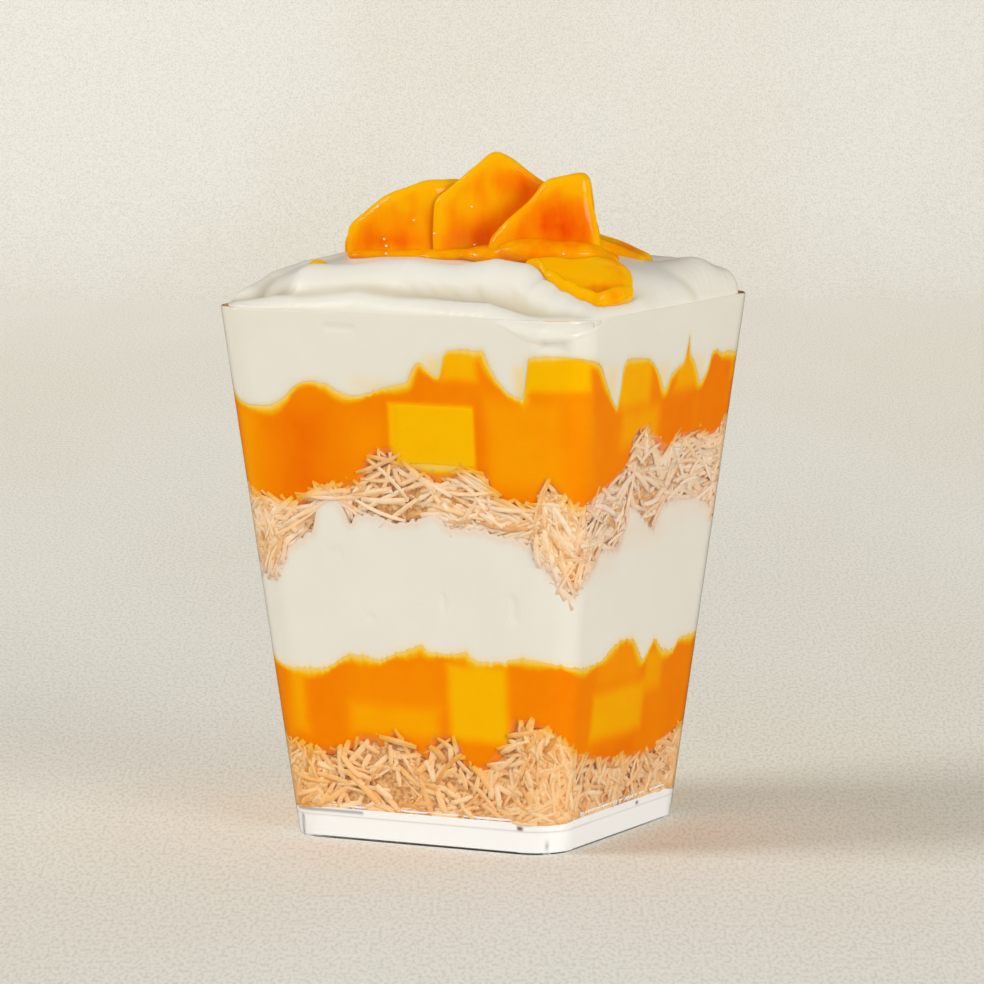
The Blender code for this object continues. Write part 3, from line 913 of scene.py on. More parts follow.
@dataclass(frozen=True)
class PlasterFinish:
    """Pale plaster with a fine grain, drawn out along the floor."""

    turn: float
    base: Colour = linear(240, 237, 228)
    speck: Colour = linear(212, 208, 198)
    stain: Colour = linear(231, 225, 208)
    in_gloss: Colour = linear(60, 58, 55)
    draw_out: float = 4.0
    fine_grain: tuple[float, float] = (1900, 1)
    broad_grain: tuple[float, float] = (9, 4)
    broad_share: float = 0.45
    grain_height: float = 0.2 * MM
    grain_strength: float = 0.4

    def make(self) -> bpy.types.Material:
        """Mix the plaster, which shows darker in things that mirror it.

        Returns:
            The material.
        """
        recipe = Recipe("plaster_look")
        where = recipe.node("TexCoord").outputs["Object"]
        drawn = recipe.node("Mapping")
        drawn.vector_type = "TEXTURE"
        recipe.feed(drawn, Vector=where, Rotation=(0, 0, self.turn),
                    Scale=(1, self.draw_out, 1))
        grains = [recipe.node("TexNoise", Vector=drawn.outputs["Vector"], Scale=scale,
                              Detail=detail).outputs["Fac"]
                  for scale, detail in (self.fine_grain, self.broad_grain)]
        fine = recipe.ramp(grains[0], [(0.34, self.speck), (0.56, self.base)])
        broad = recipe.ramp(grains[1], [(0.38, self.stain), (0.62, self.base)])
        colour = recipe.mix(self.broad_share, fine, broad)
        recipe.feed(recipe.shader, Base_Color=colour, Roughness=0.9, Specular_IOR_Level=0.1)
        recipe.bump(grains[0], self.grain_height, self.grain_strength)
        dim = recipe.node("BsdfDiffuse", Color=self.in_gloss)
        mix = recipe.node("MixShader", Fac=recipe.mirrored())
        recipe.tree.links.new(recipe.shader.outputs["BSDF"], mix.inputs[1])
        recipe.tree.links.new(dim.outputs[0], mix.inputs[2])
        recipe.tree.links.new(mix.outputs[0], recipe.output.inputs["Surface"])
        return recipe.material


MANGO_BEHIND_WALL = MangoFinish(
    "mango_look", deep=linear(242, 108, 0), middle=linear(254, 149, 0),
    bright=linear(253, 187, 0), grain=0.0, subsurface=0.0)
MANGO_ON_TOP = MangoFinish(
    "mango_glazed_look", deep=linear(238, 78, 0), middle=linear(251, 140, 0),
    bright=linear(252, 180, 2), roughness=0.35, gloss=0.0, coat=0.3, grain=0.3 * MM,
    streaks=0.85)


# ---------------------------------------------------------------- the cup

@dataclass
class DessertCup:
    """The clear cup: hollow underside, foot ring, outside, rounded rim, inside and floor."""

    plan: CupPlan = PLAN
    corner_steps: int = 20
    rim_rounding: float = 0.35 * MM
    foot_rounding: float = 0.3 * MM
    fillet: float = 0.9 * MM
    arc_steps: int = 5
    flat_area: float = 60 * MM * MM

    def arc(self, z: float, inset: float, radius: float, start: float) -> list[tuple]:
        """A quarter of a turn of (z, inset) from an angle, about a middle.

        Args:
            z: the middle's height.
            inset: the middle's inset.
            radius: the arc's radius.
            start: the angle that it starts at.

        Returns:
            The arc's points.
        """
        angles = [start + math.pi / 2 * step / self.arc_steps
                  for step in range(self.arc_steps + 1)]
        return [(z + radius * math.sin(angle), inset + radius * math.cos(angle))
                for angle in angles]

    def sections(self) -> list[tuple[float, float]]:
        """The profile as (height, inset), from the hollow's roof over the rim to the floor.

        Returns:
            The profile's points.
        """
        plan, rim, foot = self.plan, self.rim_rounding, self.foot_rounding
        under = self.arc(foot, plan.wall - foot, foot, 0)
        outer_foot = self.arc(foot, foot, foot, -math.pi / 2)
        outside = self.arc(plan.height - rim, rim, rim, math.pi / 2)
        inside = self.arc(plan.height - rim, plan.wall - rim, rim, 0)
        floor = self.arc(plan.floor_top + self.fillet, plan.wall + self.fillet, self.fillet,
                         -math.pi)
        return [(plan.floor_underside, plan.wall),
                *[(2 * foot - z, inset) for z, inset in under],
                *[(z, 2 * foot - inset) for z, inset in outer_foot],
                *outside[::-1], *inside[::-1], *floor]

    def build(self) -> bpy.types.Object:
        """Build and dress the cup.

        Returns:
            The cup.
        """
        z, inset = np.array(self.sections()).T
        mesh, _ = wrap_stack("cup_clear", self.plan.places(1, self.corner_steps), len(z),
                             lambda place, row: self.plan.outline(place, z[row], inset[row]))
        face_outwards(mesh, self.flat_area)
        return add_piece("cup_clear", mesh, ClearPlasticFinish().make(), ["cup"])


# Thin lines of shade in the foot: places where light bends at its corners and under the floor
FOOT_SHADES = [
    Patch(Side.FRONT, 0.0, 3.55, 60.0, 0.16, 0.35, 0.12),
    Patch(Side.RIGHT, 0.0, 3.55, 60.0, 0.14, 0.3, 0.12),
    Patch(Side.FRONT, -15.0, 4.3, 11.0, 0.4, 0.75, 0.3),
    Patch(Side.FRONT, 16.6, 4.0, 0.8, 0.6, 1.0, 0.2),
    Patch(Side.RIGHT, 6.0, 4.1, 0.9, 0.5, 0.9, 0.2),
    Patch(Side.FRONT, 19.7, 1.8, 0.12, 3.2, 0.7, 0.12),
    Patch(Side.FRONT, -19.6, 1.8, 0.5, 3.2, 0.75, 0.25),
    Patch(Side.RIGHT, 19.4, 1.8, 0.25, 3.2, 0.6, 0.2),
]


@dataclass
class PaintedLightFootLining:
    """The finely frosted lining of the foot, inside its skirt and up to the cup's floor, whose
    near-white colour is painted light for the light that the clear foot catches.
    """

    plan: CupPlan = PLAN
    outer_inset: float = 1.24 * MM
    inner_inset: float = 1.5 * MM
    low: float = 0.35 * MM
    roof: float = 3.7 * MM
    high: float = 4.76 * MM
    rows: int = 36
    side_steps: int = 150
    corner_steps: int = 16

    def build(self) -> bpy.types.Object:
        """Build and dress the lining.

        Returns:
            The lining.
        """
        share = np.linspace(0, 1, self.rows - 2)
        heights = np.array([self.roof, self.low, *between(self.low, self.high, share)])
        insets = np.array([self.inner_inset] * 2 + [self.outer_inset] * (self.rows - 2))
        places = self.plan.places(self.side_steps, self.corner_steps)
        mesh, place = wrap_stack(
            "foot_painted_light_lining", places, self.rows,
            lambda place, row: self.plan.outline(place, heights[row], insets[row]))
        face_outwards(mesh)
        paint(mesh, "shade", painted(0, FOOT_SHADES, place, coordinates(mesh)[:, 2]))
        return add_piece("foot_painted_light_lining", mesh, PaintedFootLightFinish().make())


# ---------------------------------------------------------------- layers

# Rows of a layer's underside: depth from the wall in mm, plan scale and levelness
INNER_ROWS = [(3.2, 0.6, 1.0), (3.2, 0.9, 0.6), (3.2, 1.0, 0.0), (1.2, 1.0, 0.0)]


@dataclass
class Layer:
    """A slab of filling between two borders, with its side just inside the cup's wall."""

    name: str
    below: Border
    above: Border
    inset: float
    wall_rows: int = 34
    side_steps: int = 168
    corner_steps: int = 12
    overlap: float = 0.15 * MM

    def rows(self) -> Array:
        """Each row's share of the height, depth from the wall, plan scale and levelness.

        Returns:
            Four numbers a row.
        """
        shares = np.linspace(0, 1, self.wall_rows)
        return np.array([*[(0.0, *row) for row in INNER_ROWS],
                         *[(share, 0.0, 1.0, 0.0) for share in shares],
                         *[(1.0, *row) for row in INNER_ROWS[::-1]]])

    def extra_inset(self, place: Array, z: Array) -> Array:
        """How much deeper than usual points of the side lie."""
        return np.zeros_like(z)

    def shape(self, place: Array, row: Array) -> Array:
        """The points of the slab for places and rows.

        Args:
            place: places round the wall.
            row: the row of each.

        Returns:
            One row of x, y and z a point.
        """
        share, depth, scale, calm = self.rows()[row].T
        low = between(self.below.height(place) - self.overlap, self.below.level * MM, calm)
        high = between(self.above.height(place) + self.overlap, self.above.level * MM, calm)
        z = between(low, high, share)
        inset = self.inset + depth * MM + self.extra_inset(place, z)
        points = PLAN.outline(place, z, inset)
        points[:, :2] *= scale[:, None]
        return points

    def mesh(self) -> tuple[bpy.types.Mesh, Array, Array]:
        """The slab's mesh, and the place and height of each vertex.

        Returns:
            The mesh, the places and the heights.
        """
        places = PLAN.places(self.side_steps, self.corner_steps)
        mesh, place = wrap_stack(self.name, places, len(self.rows()), self.shape)
        return mesh, place, coordinates(mesh)[:, 2]


@dataclass
class CreamLayer(Layer):
    """A layer of cream, stained by the mango that it touches."""

    stains: Sequence[Patch] = ()
    pits: Sequence[Patch] = ()
    stain_depth: float = 1.1 * MM
    stain_share: float = 0.55
    crumb_depth: float = 0.0
    crumb_share: float = 0.6
    crumbs: Sequence[Patch] = ()

    def extra_inset(self, place: Array, z: Array) -> Array:
        """Cream draws back from the wall in its pits."""
        return painted(0, self.pits, place, z) * MM

    def stain(self, place: Array, z: Array) -> Array:
        """How stained points of the cream are.

        Args:
            place: the points' places round the wall.
            z: their heights.

        Returns:
            A share for each point.
        """
        near = self.below.distance(place, z)
        soft = self.stain_share * (1 - smooth(near / self.stain_depth))
        return np.maximum(soft, painted(0, self.stains, place, z))

    def crumb(self, place: Array, z: Array) -> Array:
        """How far points of the cream are tinted by the kunafa above.

        Args:
            place: the points' places round the wall.
            z: their heights.

        Returns:
            A share for each point.
        """
        if not self.crumb_depth:
            return np.zeros_like(z)
        near = 1 - smooth(-self.above.distance(place, z) / self.crumb_depth)
        return np.maximum(self.crumb_share * near, painted(0, self.crumbs, place, z))

    def crease_shade(self, points: Array) -> Array:
        """How much painted shade points get in the folds of the top."""
        return np.zeros(len(points))

    def build(self, material: bpy.types.Material) -> bpy.types.Object:
        """Build and dress the layer.

        Args:
            material: its finish.

        Returns:
            The layer.
        """
        mesh, place, z = self.mesh()
        paint(mesh, "stain", self.stain(place, z))
        paint(mesh, "crumb", self.crumb(place, z))
        # painted shade in the folds of the top
        paint(mesh, "crease_shade", self.crease_shade(coordinates(mesh)))
        return add_piece(f"{self.name}_soft", mesh, material, [self.name])


# The tones of the fruit that shows in the mango, from deep orange at 0 to yellow at 1
UPPER_TONES = [
    Patch(Side.FRONT, -16.1, 58.2, 5.0, 12.0, 0.0, 5.0),
    Patch(Side.FRONT, -26.0, 58.1, 4.0, 14.4, 0.62, 2.5),
    Patch(Side.FRONT, -5.5, 61.0, 5.0, 6.0, 0.4, 2.0),
    Patch(Side.FRONT, 20.6, 61.6, 12.7, 13.3, 0.58, 2.2),
    Patch(Side.FRONT, 30.2, 62.0, 6.0, 13.2, 0.42, 1.2),
    Patch(Side.FRONT, 10.3, 72.8, 5.6, 4.2, 0.92, 1.0),
    Patch(Side.FRONT, 26.7, 72.2, 11.8, 5.4, 1.0, 1.0),
    Patch(Side.FRONT, 12.9, 60.8, 1.6, 15.0, 0.2, 1.4),
    Patch(Side.RIGHT, -6.3, 62.8, 12.3, 5.2, 0.68, 1.8),
    Patch(Side.RIGHT, -9.7, 69.4, 11.2, 6.8, 0.82, 1.4),
    Patch(Side.RIGHT, 6.6, 62.6, 11.0, 7.0, 0.18, 2.0),
    Patch(Side.RIGHT, 8.4, 69.6, 7.0, 4.9, 0.75, 1.4),
    Patch(Side.RIGHT, 19.1, 65.0, 11.0, 12.5, 0.2, 1.6),
    Patch(Side.RIGHT, 26.2, 69.3, 3.6, 4.5, 0.6, 0.8),
    Patch(Side.FRONT, 5.3, 62.0, 14.0, 9.8, 1.0, 0.5),
]
LOWER_TONES = [
    Patch(Side.FRONT, -19.2, 20.9, 2.7, 9.4, 0.75, 1.5),
    Patch(Side.FRONT, -14.4, 22.3, 6.0, 7.2, 0.25, 2.0),
    Patch(Side.FRONT, -2.6, 24.7, 15.0, 6.4, 0.4, 1.8),
    Patch(Side.FRONT, -3.1, 18.9, 14.9, 4.6, 0.72, 1.6),
    Patch(Side.FRONT, 10.8, 22.4, 9.6, 11.5, 0.98, 1.2),
    Patch(Side.FRONT, 22.8, 24.5, 7.5, 10.2, 0.28, 1.6),
    Patch(Side.RIGHT, -5.2, 26.9, 14.9, 5.6, 0.5, 1.6),
    Patch(Side.RIGHT, -4.5, 19.6, 17.5, 7.1, 0.8, 1.3),
    Patch(Side.RIGHT, 7.0, 24.5, 5.6, 6.3, 0.68, 1.4),
    Patch(Side.RIGHT, 17.1, 21.0, 10.0, 15.0, 0.28, 2.0),
    Patch(Side.RIGHT, -4.4, 13.5, 13.9, 2.4, 0.15, 1.4),
]

# Where mango shows yellow through the swirl, and how strongly
SWIRL_STAINS = [
    Patch(Side.FRONT, -4.4, 69.2, 5.0, 0.8, 0.55, 2.2),
    Patch(Side.FRONT, 6.2, 71.9, 2.6, 4.0, 0.7, 1.4),
    Patch(Side.FRONT, 20.2, 70.4, 1.6, 5.0, 0.75, 1.2),
    Patch(Side.RIGHT, -17.6, 69.6, 3.0, 6.0, 0.5, 1.6),
    Patch(Side.RIGHT, 0.0, 70.0, 3.2, 3.0, 0.45, 1.4),
    Patch(Side.RIGHT, 12.5, 70.0, 3.2, 3.0, 0.45, 1.4),
]

# Where cream draws back from the wall, by how many mm
SWIRL_PITS = [
    Patch(Side.FRONT, -9.2, 77.7, 4.6, 0.5, 0.35, 0.6),
    Patch(Side.FRONT, 25.6, 77.0, 4.4, 2.4, 0.8, 1.4),
]
CREAM_PITS = [
    Patch(Side.FRONT, 5.9, 37.4, 0.7, 2.2, 0.3, 0.7),
    Patch(Side.FRONT, 17.4, 37.0, 0.8, 3.2, 0.3, 0.7),
    Patch(Side.FRONT, -12.0, 44.0, 2.4, 0.5, 0.25, 0.6),
    Patch(Side.FRONT, -6.6, 34.4, 1.6, 0.5, 0.2, 0.5),
    Patch(Side.BACK, -8.0, 38.0, 0.8, 2.4, 0.3, 0.7),
    Patch(Side.LEFT, 6.0, 36.0, 2.4, 0.6, 0.3, 0.7),
]

# Where the kunafa tints the cream
CREAM_CRUMBS = [
    Patch(Side.RIGHT, -2.0, 47.0, 16.0, 5.0, 0.35, 3.0),
    Patch(Side.RIGHT, 15.0, 48.0, 14.0, 3.0, 0.3, 3.0),
    Patch(Side.RIGHT, -15.0, 43.0, 8.0, 3.0, 0.3, 2.5),
]

# Where the mango thins out
PALE_SPOTS = [Patch(Side.FRONT, 5.2, 57.6, 11.5, 1.6, 0.9, 0.8)]


@dataclass
class MangoLayer(Layer):
    """Mango pulp, with dice of mango flat against the wall."""

    tones: Sequence[Patch] = ()
    dice: Sequence[tuple] = ()
    pale_spots: Sequence[Patch] = ()
    base_tone: float = 0.3
    fringe_depth: tuple[float, float] = (0.5, 1.5)
    fringe_swell: float = 5.0
    receding: float = 1.6 * MM
    receding_depth: float = 0.7 * MM
    die_inset: tuple[float, float] = (1.1 * MM, 1.24 * MM)
    die_depth: float = 6 * MM
    die_rounding: tuple[float, float] = (0.6 * MM, 1.2 * MM)
    die_cuts: int = 15
    smallest_face: float = 4 * MM * MM
    bright_tone: float = 1.0
    edge_line: float = 0.8 * MM
    # painted highlight: how much lighter the tone is along a bright die's edge
    edge_highlight: float = 0.05

    def extra_inset(self, place: Array, z: Array) -> Array:
        """The pulp draws back from the wall where shreds of kunafa stick into it."""
        near = 1 - self.below.distance(place, z) / self.receding
        return self.receding_depth * np.clip(near, 0, 1) ** 2

    def all_tones(self) -> list[Patch]:
        """The given patches, and one for each die on the sides that have none.

        Returns:
            The patches.
        """
        unseen = [Patch(Side(side), offset, z, width, height, tone, 1.0)
                  for side, offset, z, width, height, _, tone in self.dice
                  if side in (Side.BACK, Side.LEFT)]
        return [*unseen, *self.tones]

    def fringe(self, place: Array, z: Array) -> Array:
        """How near points are to the cream above, from 0 in the fruit to 1 at its edge.

        Args:
            place: the points' places round the wall.
            z: their heights.

        Returns:
            A share for each point.
        """
        swell = (1 + np.sin(place * self.fringe_swell * math.pi + 1)) / 2
        depth = between(*self.fringe_depth, swell) * MM
        edge = 1 - np.clip(-self.above.distance(place, z) / depth, 0, 1)
        return np.maximum(edge, painted(0, self.pale_spots, place, z))

    def dress(self, mesh: bpy.types.Mesh, place: Array, z: Array, edge: Array | float = 0.0,
              ) -> None:
        """Store the tone and the fringe on a mesh, with a painted highlight along the edges of a
        cut.

        Args:
            mesh: the mesh.
            place: its vertices' places round the wall.
            z: their heights.
            edge: how strongly each gets the painted highlight near a cut's edge.
        """
        tone = painted(self.base_tone, self.all_tones(), place, z)
        # painted highlight along a cut's edge
        paint(mesh, "tone", tone + edge * self.edge_highlight)
        paint(mesh, "fringe", self.fringe(place, z))

    def die_mesh(self, name: str, die: tuple) -> tuple[bpy.types.Mesh, Array, Array]:
        """One die with its face flat in the wall's inner side.

        Args:
            name: the mesh's name.
            die: its entry in the list of dice.

        Returns:
            The mesh, its vertices' places, and how strongly each vertex gets the painted
            highlight near the face's edge.
        """
        side, offset, z, width, height, roll, tone = die
        normal = Vector(PLAN.normal(np.array(2.0 * side)))
        level = Vector((-normal.y, normal.x, 0)).normalized()
        up = normal.cross(level)
        turn = Matrix.Rotation(math.radians(roll), 3, normal)
        grid = Matrix((turn @ level, turn @ up, normal)).transposed().to_4x4()
        place = PLAN.place_on(side, offset * MM, z * MM)
        sunk = tone < self.bright_tone
        inset = np.array(self.die_inset[sunk])
        face = Vector(PLAN.outline(np.array(place), np.array(z * MM), inset))
        grid.translation = face - normal * self.die_depth / 2
        bm = bmesh.new()
        bmesh.ops.create_cube(bm, size=1, matrix=Matrix.Diagonal(
            (width * MM, height * MM, self.die_depth, 1)))
        bmesh.ops.bevel(bm, geom=bm.edges[:], offset=self.die_rounding[sunk], segments=4,
                        profile=0.5, affect="EDGES", material=-1)
        faces = [face for face in bm.faces if face.calc_area() > self.smallest_face]
        edges = list({edge for face in faces for edge in face.edges})
        bmesh.ops.subdivide_edges(bm, edges=edges, cuts=self.die_cuts, use_grid_fill=True)
        flat = np.abs(np.array([vert.co[:2] for vert in bm.verts]))
        margin = (np.array([width, height]) * MM / 2 - flat).min(axis=1)
        bmesh.ops.transform(bm, matrix=grid, verts=bm.verts[:])
        mesh = mesh_of(name, bm)
        points = coordinates(mesh)
        across = points @ np.array(level)
        # painted highlight in a band along the face's edge, on bright dice only
        edge = 1 - np.clip(np.abs(margin - self.edge_line) / self.edge_line, 0, 1)
        edge *= not sunk
        return mesh, PLAN.place_on(side, across, points[:, 2]), edge

    def build(self, material: bpy.types.Material) -> None:
        """Build and dress the pulp and its dice.

        Args:
            material: their finish.
        """
        mesh, place, z = self.mesh()
        self.dress(mesh, place, z)
        add_piece(f"{self.name}_pulp", mesh, material, [self.name])
        for number, die in enumerate(self.dice, start=1):
            name = f"{self.name}_die_{number:02d}"
            mesh, place, edge = self.die_mesh(name, die)
            self.dress(mesh, place, coordinates(mesh)[:, 2], edge)
            add_piece(f"{name}_cut", mesh, material, [name])


# side, offset from its middle, middle height, width, height, roll in degrees, and tone
LOWER_DICE = [
    (Side.FRONT, -14.9, 20.2, 6.6, 8.4, 2, 0.4), (Side.FRONT, -2.8, 20.7, 15.0, 7.8, -1, 0.5),
    (Side.FRONT, 9.9, 22.4, 7.2, 9.6, 1, 0.9), (Side.RIGHT, -7.0, 20.9, 13.0, 11.0, 0, 0.8),
    (Side.RIGHT, 5.6, 20.3, 7.8, 9.6, -3, 0.5), (Side.RIGHT, 14.8, 20.4, 6.8, 9.4, 3, 0.2),
    (Side.BACK, -11.8, 21.5, 8.4, 7.6, 4, 0.9), (Side.BACK, 0.4, 21.4, 11.4, 8.2, -2, 0.6),
    (Side.BACK, 12.2, 21.6, 8.0, 8.0, 2, 0.2), (Side.LEFT, -12.0, 21.4, 8.4, 8.2, -3, 0.3),
    (Side.LEFT, -0.8, 21.6, 10.4, 7.6, 3, 0.95), (Side.LEFT, 11.6, 21.4, 9.6, 8.2, -1, 0.6),
]
UPPER_DICE = [
    (Side.FRONT, -15.6, 60.6, 12.0, 7.8, 2, 0.1), (Side.FRONT, 5.8, 62.3, 13.4, 9.4, -0.5, 1.0),
    (Side.FRONT, 11.3, 71.0, 6.8, 4.6, 3, 0.9), (Side.FRONT, 18.9, 61.7, 7.0, 10.2, 0, 0.5),
    (Side.RIGHT, -8.8, 65.9, 10.2, 6.6, 1, 0.8), (Side.RIGHT, 7.8, 65.0, 7.0, 6.6, -3, 0.3),
    (Side.RIGHT, 19.3, 65.0, 5.4, 8.2, 2, 0.0), (Side.BACK, -15.0, 62.9, 10.4, 7.2, -4, 0.3),
    (Side.BACK, -0.6, 62.7, 12.0, 7.4, 2, 0.95), (Side.BACK, 14.4, 62.9, 10.2, 7.4, 1, 0.5),
    (Side.LEFT, -15.4, 62.8, 9.6, 7.4, 3, 0.7), (Side.LEFT, -1.4, 62.7, 12.6, 7.2, -2, 0.15),
    (Side.LEFT, 14.6, 62.9, 10.0, 7.4, 2, 0.9),
]


# ---------------------------------------------------------------- kunafa

# Where the shreds are mixed towards their creamed colour, so that they look paler
BOTTOM_HAZES = [Patch(Side.RIGHT, 0.0, 9.0, 60.0, 12.0, 0.12, 2.0)]
UPPER_HAZES = [Patch(Side.RIGHT, 4.0, 52.0, 52.0, 14.0, 0.36, 4.0)]


@dataclass
class HeapCore(Layer):
    """The lumpy core of a heap of shreds, which reaches into the wall at the cup's corners."""

    touching: float = 1.26 * MM
    reach: tuple[float, float] = (0.14, 0.24)
    lumps: float = 0.4 * MM
    lump_size: float = 1.6 * MM

    def extra_inset(self, place: Array, z: Array) -> Array:
        """How far lumps of the side stand out, most at the corners.

        Args:
            place: the points' places round the wall.
            z: their heights.

        Returns:
            How much deeper than the inset each point lies.
        """
        from_corner = np.abs(place % 2 - 1)
        near = 1 - smooth((from_corner - self.reach[0]) / (self.reach[1] - self.reach[0]))
        points = PLAN.outline(place, z, 0) / self.lump_size
        lumps = np.array([noise.noise(Vector(point)) for point in points]) * self.lumps
        return between(np.maximum(lumps, self.touching - self.inset), self.touching - self.inset,
                       near)


@dataclass
class KunafaLayer:
    """A heap of loose kunafa shreds over a core of its own."""

    name: str
    below: Border
    above: Border
    seed: int
    tilt: float
    count: int = 3300
    creamed_below: bool = False
    hazes: Sequence[Patch] = ()
    drift_share: float = 0.8
    corner_count: int = 160
    corner_spread: float = 0.17
    corner_tilt: tuple[float, float] = (0.9, 1.5)
    corner_length: float = 0.75
    corner_reach: tuple[float, float] = (0.16, 0.12)
    length: tuple[float, float] = (3.0 * MM, 7.0 * MM)
    width: tuple[float, float] = (0.65 * MM, 1.15 * MM)
    flatness: tuple[float, float] = (0.38, 0.65)
    roll: float = 40.0
    skin: float = 1.02 * MM
    depth: float = 2.6 * MM
    depth_power: float = 1.2
    loose: float = 0.5 * MM
    over: tuple[float, float] = (-0.6 * MM, 2.2 * MM)
    proud: float = 0.14 * MM
    proud_rise: float = 0.8 * MM
    proud_depth: float = 0.1
    sticking_out: float = 0.7
    under: tuple[float, float] = (-0.5 * MM, 2.2 * MM)
    over_floor: float = 0.4 * MM
    curl: float = 0.05
    wetness: tuple[float, float] = (0.5, 1.2)
    tone_spread: tuple[float, float] = (2.4, 1.3)
    deep_shade: float = 0.45
    soaking: tuple[float, float] = (0.7, 1.7)
    creaming: tuple[float, float] = (1.6, 2.2)
    creamed: float = 0.9
    taper: float = 0.3
    core_inset: float = 1.95 * MM
    stations: int = 5
    facets: int = 6
    squareness: float = 0.55

    def template(self) -> tuple[Array, list[list[int]]]:
        """A unit shred of flattened section: the vertices along X, and the faces.

        Returns:
            The vertices, and the vertex numbers of each face.
        """
        bm = ring_stack(self.facets, self.stations)
        turn = Matrix.Rotation(math.pi / self.facets, 4, "Z")
        bmesh.ops.transform(bm, matrix=turn, verts=bm.verts[:])
        bm.verts.index_update()
        unit = np.array([vert.co for vert in bm.verts])
        faces = [[vert.index for vert in face.verts] for face in bm.faces]
        bm.free()
        along = unit[:, 2] / (self.stations - 1) - 0.5
        section = np.copysign(np.abs(unit[:, :2]) ** self.squareness, unit[:, :2]) / 2
        return np.column_stack([along, section]), faces

    def shreds(self) -> dict[str, Array]:
        """Where the two ends of each shred lie, and its looks.

        Returns:
            Arrays with an entry for each shred.
        """
        draw = np.random.default_rng(self.seed)
        cornered = np.arange(self.count) < self.corner_count
        corner = 2 * draw.integers(0, 4, self.count) + 1
        corner = corner + draw.uniform(-self.corner_spread, self.corner_spread, self.count)
        place = np.where(cornered, corner, draw.uniform(0, 8, self.count))
        share = draw.uniform(-0.04, 1.04, self.count)
        z = between(self.below.height(place), self.above.height(place), share)
        drift = np.arctan(between(self.below.slope(place), self.above.slope(place), share))
        tilt = np.radians(draw.uniform(-self.tilt, self.tilt, self.count))
        tilt = tilt + drift * self.drift_share
        steep = draw.uniform(*self.corner_tilt, self.count)
        steep = np.copysign(steep, draw.uniform(-1, 1, self.count))
        tilt = np.where(cornered, steep, tilt)
        length = draw.uniform(*self.length, self.count)
        length = length * np.where(cornered, self.corner_length, 1)
        deepness = draw.uniform(0, 1, self.count) ** self.depth_power
        depth = self.depth * deepness
        width = draw.uniform(*self.width, self.count)
        thickness = width * draw.uniform(*self.flatness, self.count)
        over = draw.uniform(*self.over, self.count)
        under = draw.uniform(*self.under, self.count)
        wet = draw.uniform(*self.wetness, self.count)
        found = {"width": width, "thickness": thickness, "length": length,
                 "roll": np.radians(draw.uniform(-self.roll, self.roll, self.count)),
                 "tone": (draw.beta(*self.tone_spread, self.count)
                          * (1 - self.deep_shade * deepness)),
                 "bend": draw.uniform(-self.curl, self.curl, (2, self.count)),
                 "wet": wet}
        for name, way in (("start", -0.5), ("end", 0.5)):
            here = place + way * length * np.cos(tilt) / PLAN.length_per_place(z)
            rise = z + way * length * np.sin(tilt)
            low = self.below.height(here) - (under if self.creamed_below else -self.over_floor)
            top = self.above.height(here)
            rise = np.clip(rise, low, top + over)
            inset = self.skin + thickness / 2 + depth + draw.uniform(0, self.loose, self.count)
            shown = smooth((rise - top) / self.proud_rise) * (wet > self.sticking_out)
            reach, fade = self.corner_reach
            shown = np.maximum(shown, 1 - smooth((np.abs(here % 2 - 1) - reach) / fade))
            front = self.skin - self.proud + thickness / 2 + self.proud_depth * depth
            inset = between(inset, front, shown)
            found[name] = np.column_stack([here, rise, inset])
        return found

    def strand_mesh(self) -> bpy.types.Mesh:
        """All the shreds as one mesh, each laid along the wall, with its tone and wetness.

        Returns:
            The mesh.
        """
        unit, faces = self.template()
        found = self.shreds()
        start, end = found["start"][:, None, :], found["end"][:, None, :]
        place, rise, inset = np.moveaxis(
            between(start, end, unit[None, :, :1] + 0.5), -1, 0)
        line = PLAN.outline(place, rise, inset)
        ends = [PLAN.outline(*end.T) for end in (found["start"], found["end"])]
        run = ends[1] - ends[0]
        normal = PLAN.normal(place)
        across = np.cross(normal, run[:, None, :])
        across /= np.linalg.norm(across, axis=2, keepdims=True)
        face = np.cross(run[:, None, :], across)
        face /= np.linalg.norm(face, axis=2, keepdims=True)
        turn = found["roll"][:, None, None]
        across, face = (across * np.cos(turn) + face * np.sin(turn),
                        face * np.cos(turn) - across * np.sin(turn))
        along, side, out = unit.T
        taper = 1 - self.taper * (2 * np.abs(along)) ** 6
        bow = 4 * (0.25 - along ** 2)
        shift = found["bend"][:, :, None] * found["length"][None, :, None] * bow
        wide = found["width"][:, None] * side * taper + shift[0]
        deep = found["thickness"][:, None] * out * taper - np.abs(shift[1])
        points = line + across * wide[:, :, None] + face * deep[:, :, None]
        points = points.reshape(-1, 3)
        count = len(unit)
        every = [[index + strand * count for index in polygon]
                 for strand in range(self.count) for polygon in faces]
        mesh = bpy.data.meshes.new(f"{self.name}_strands")
        mesh.from_pydata(points.tolist(), [], every)
        mesh.polygons.foreach_set("use_smooth", [True] * len(every))
        place = place.ravel()
        wet = np.repeat(found["wet"], count)
        reach = self.above.distance(place, points[:, 2]) / MM
        soak = smooth((reach + self.soaking[0]) / self.soaking[1]) * wet
        paint(mesh, "tone", np.repeat(found["tone"], count))
        paint(mesh, "soak", np.clip(soak, 0, 1))
        sunk = -self.below.distance(place, points[:, 2]) / MM
        coat = smooth((sunk + self.creaming[0]) / self.creaming[1])
        coat = coat * wet * self.creamed * self.creamed_below
        coat = np.maximum(coat, painted(0, self.hazes, place, points[:, 2]))
        paint(mesh, "coat", np.clip(coat, 0, 1))
        return mesh

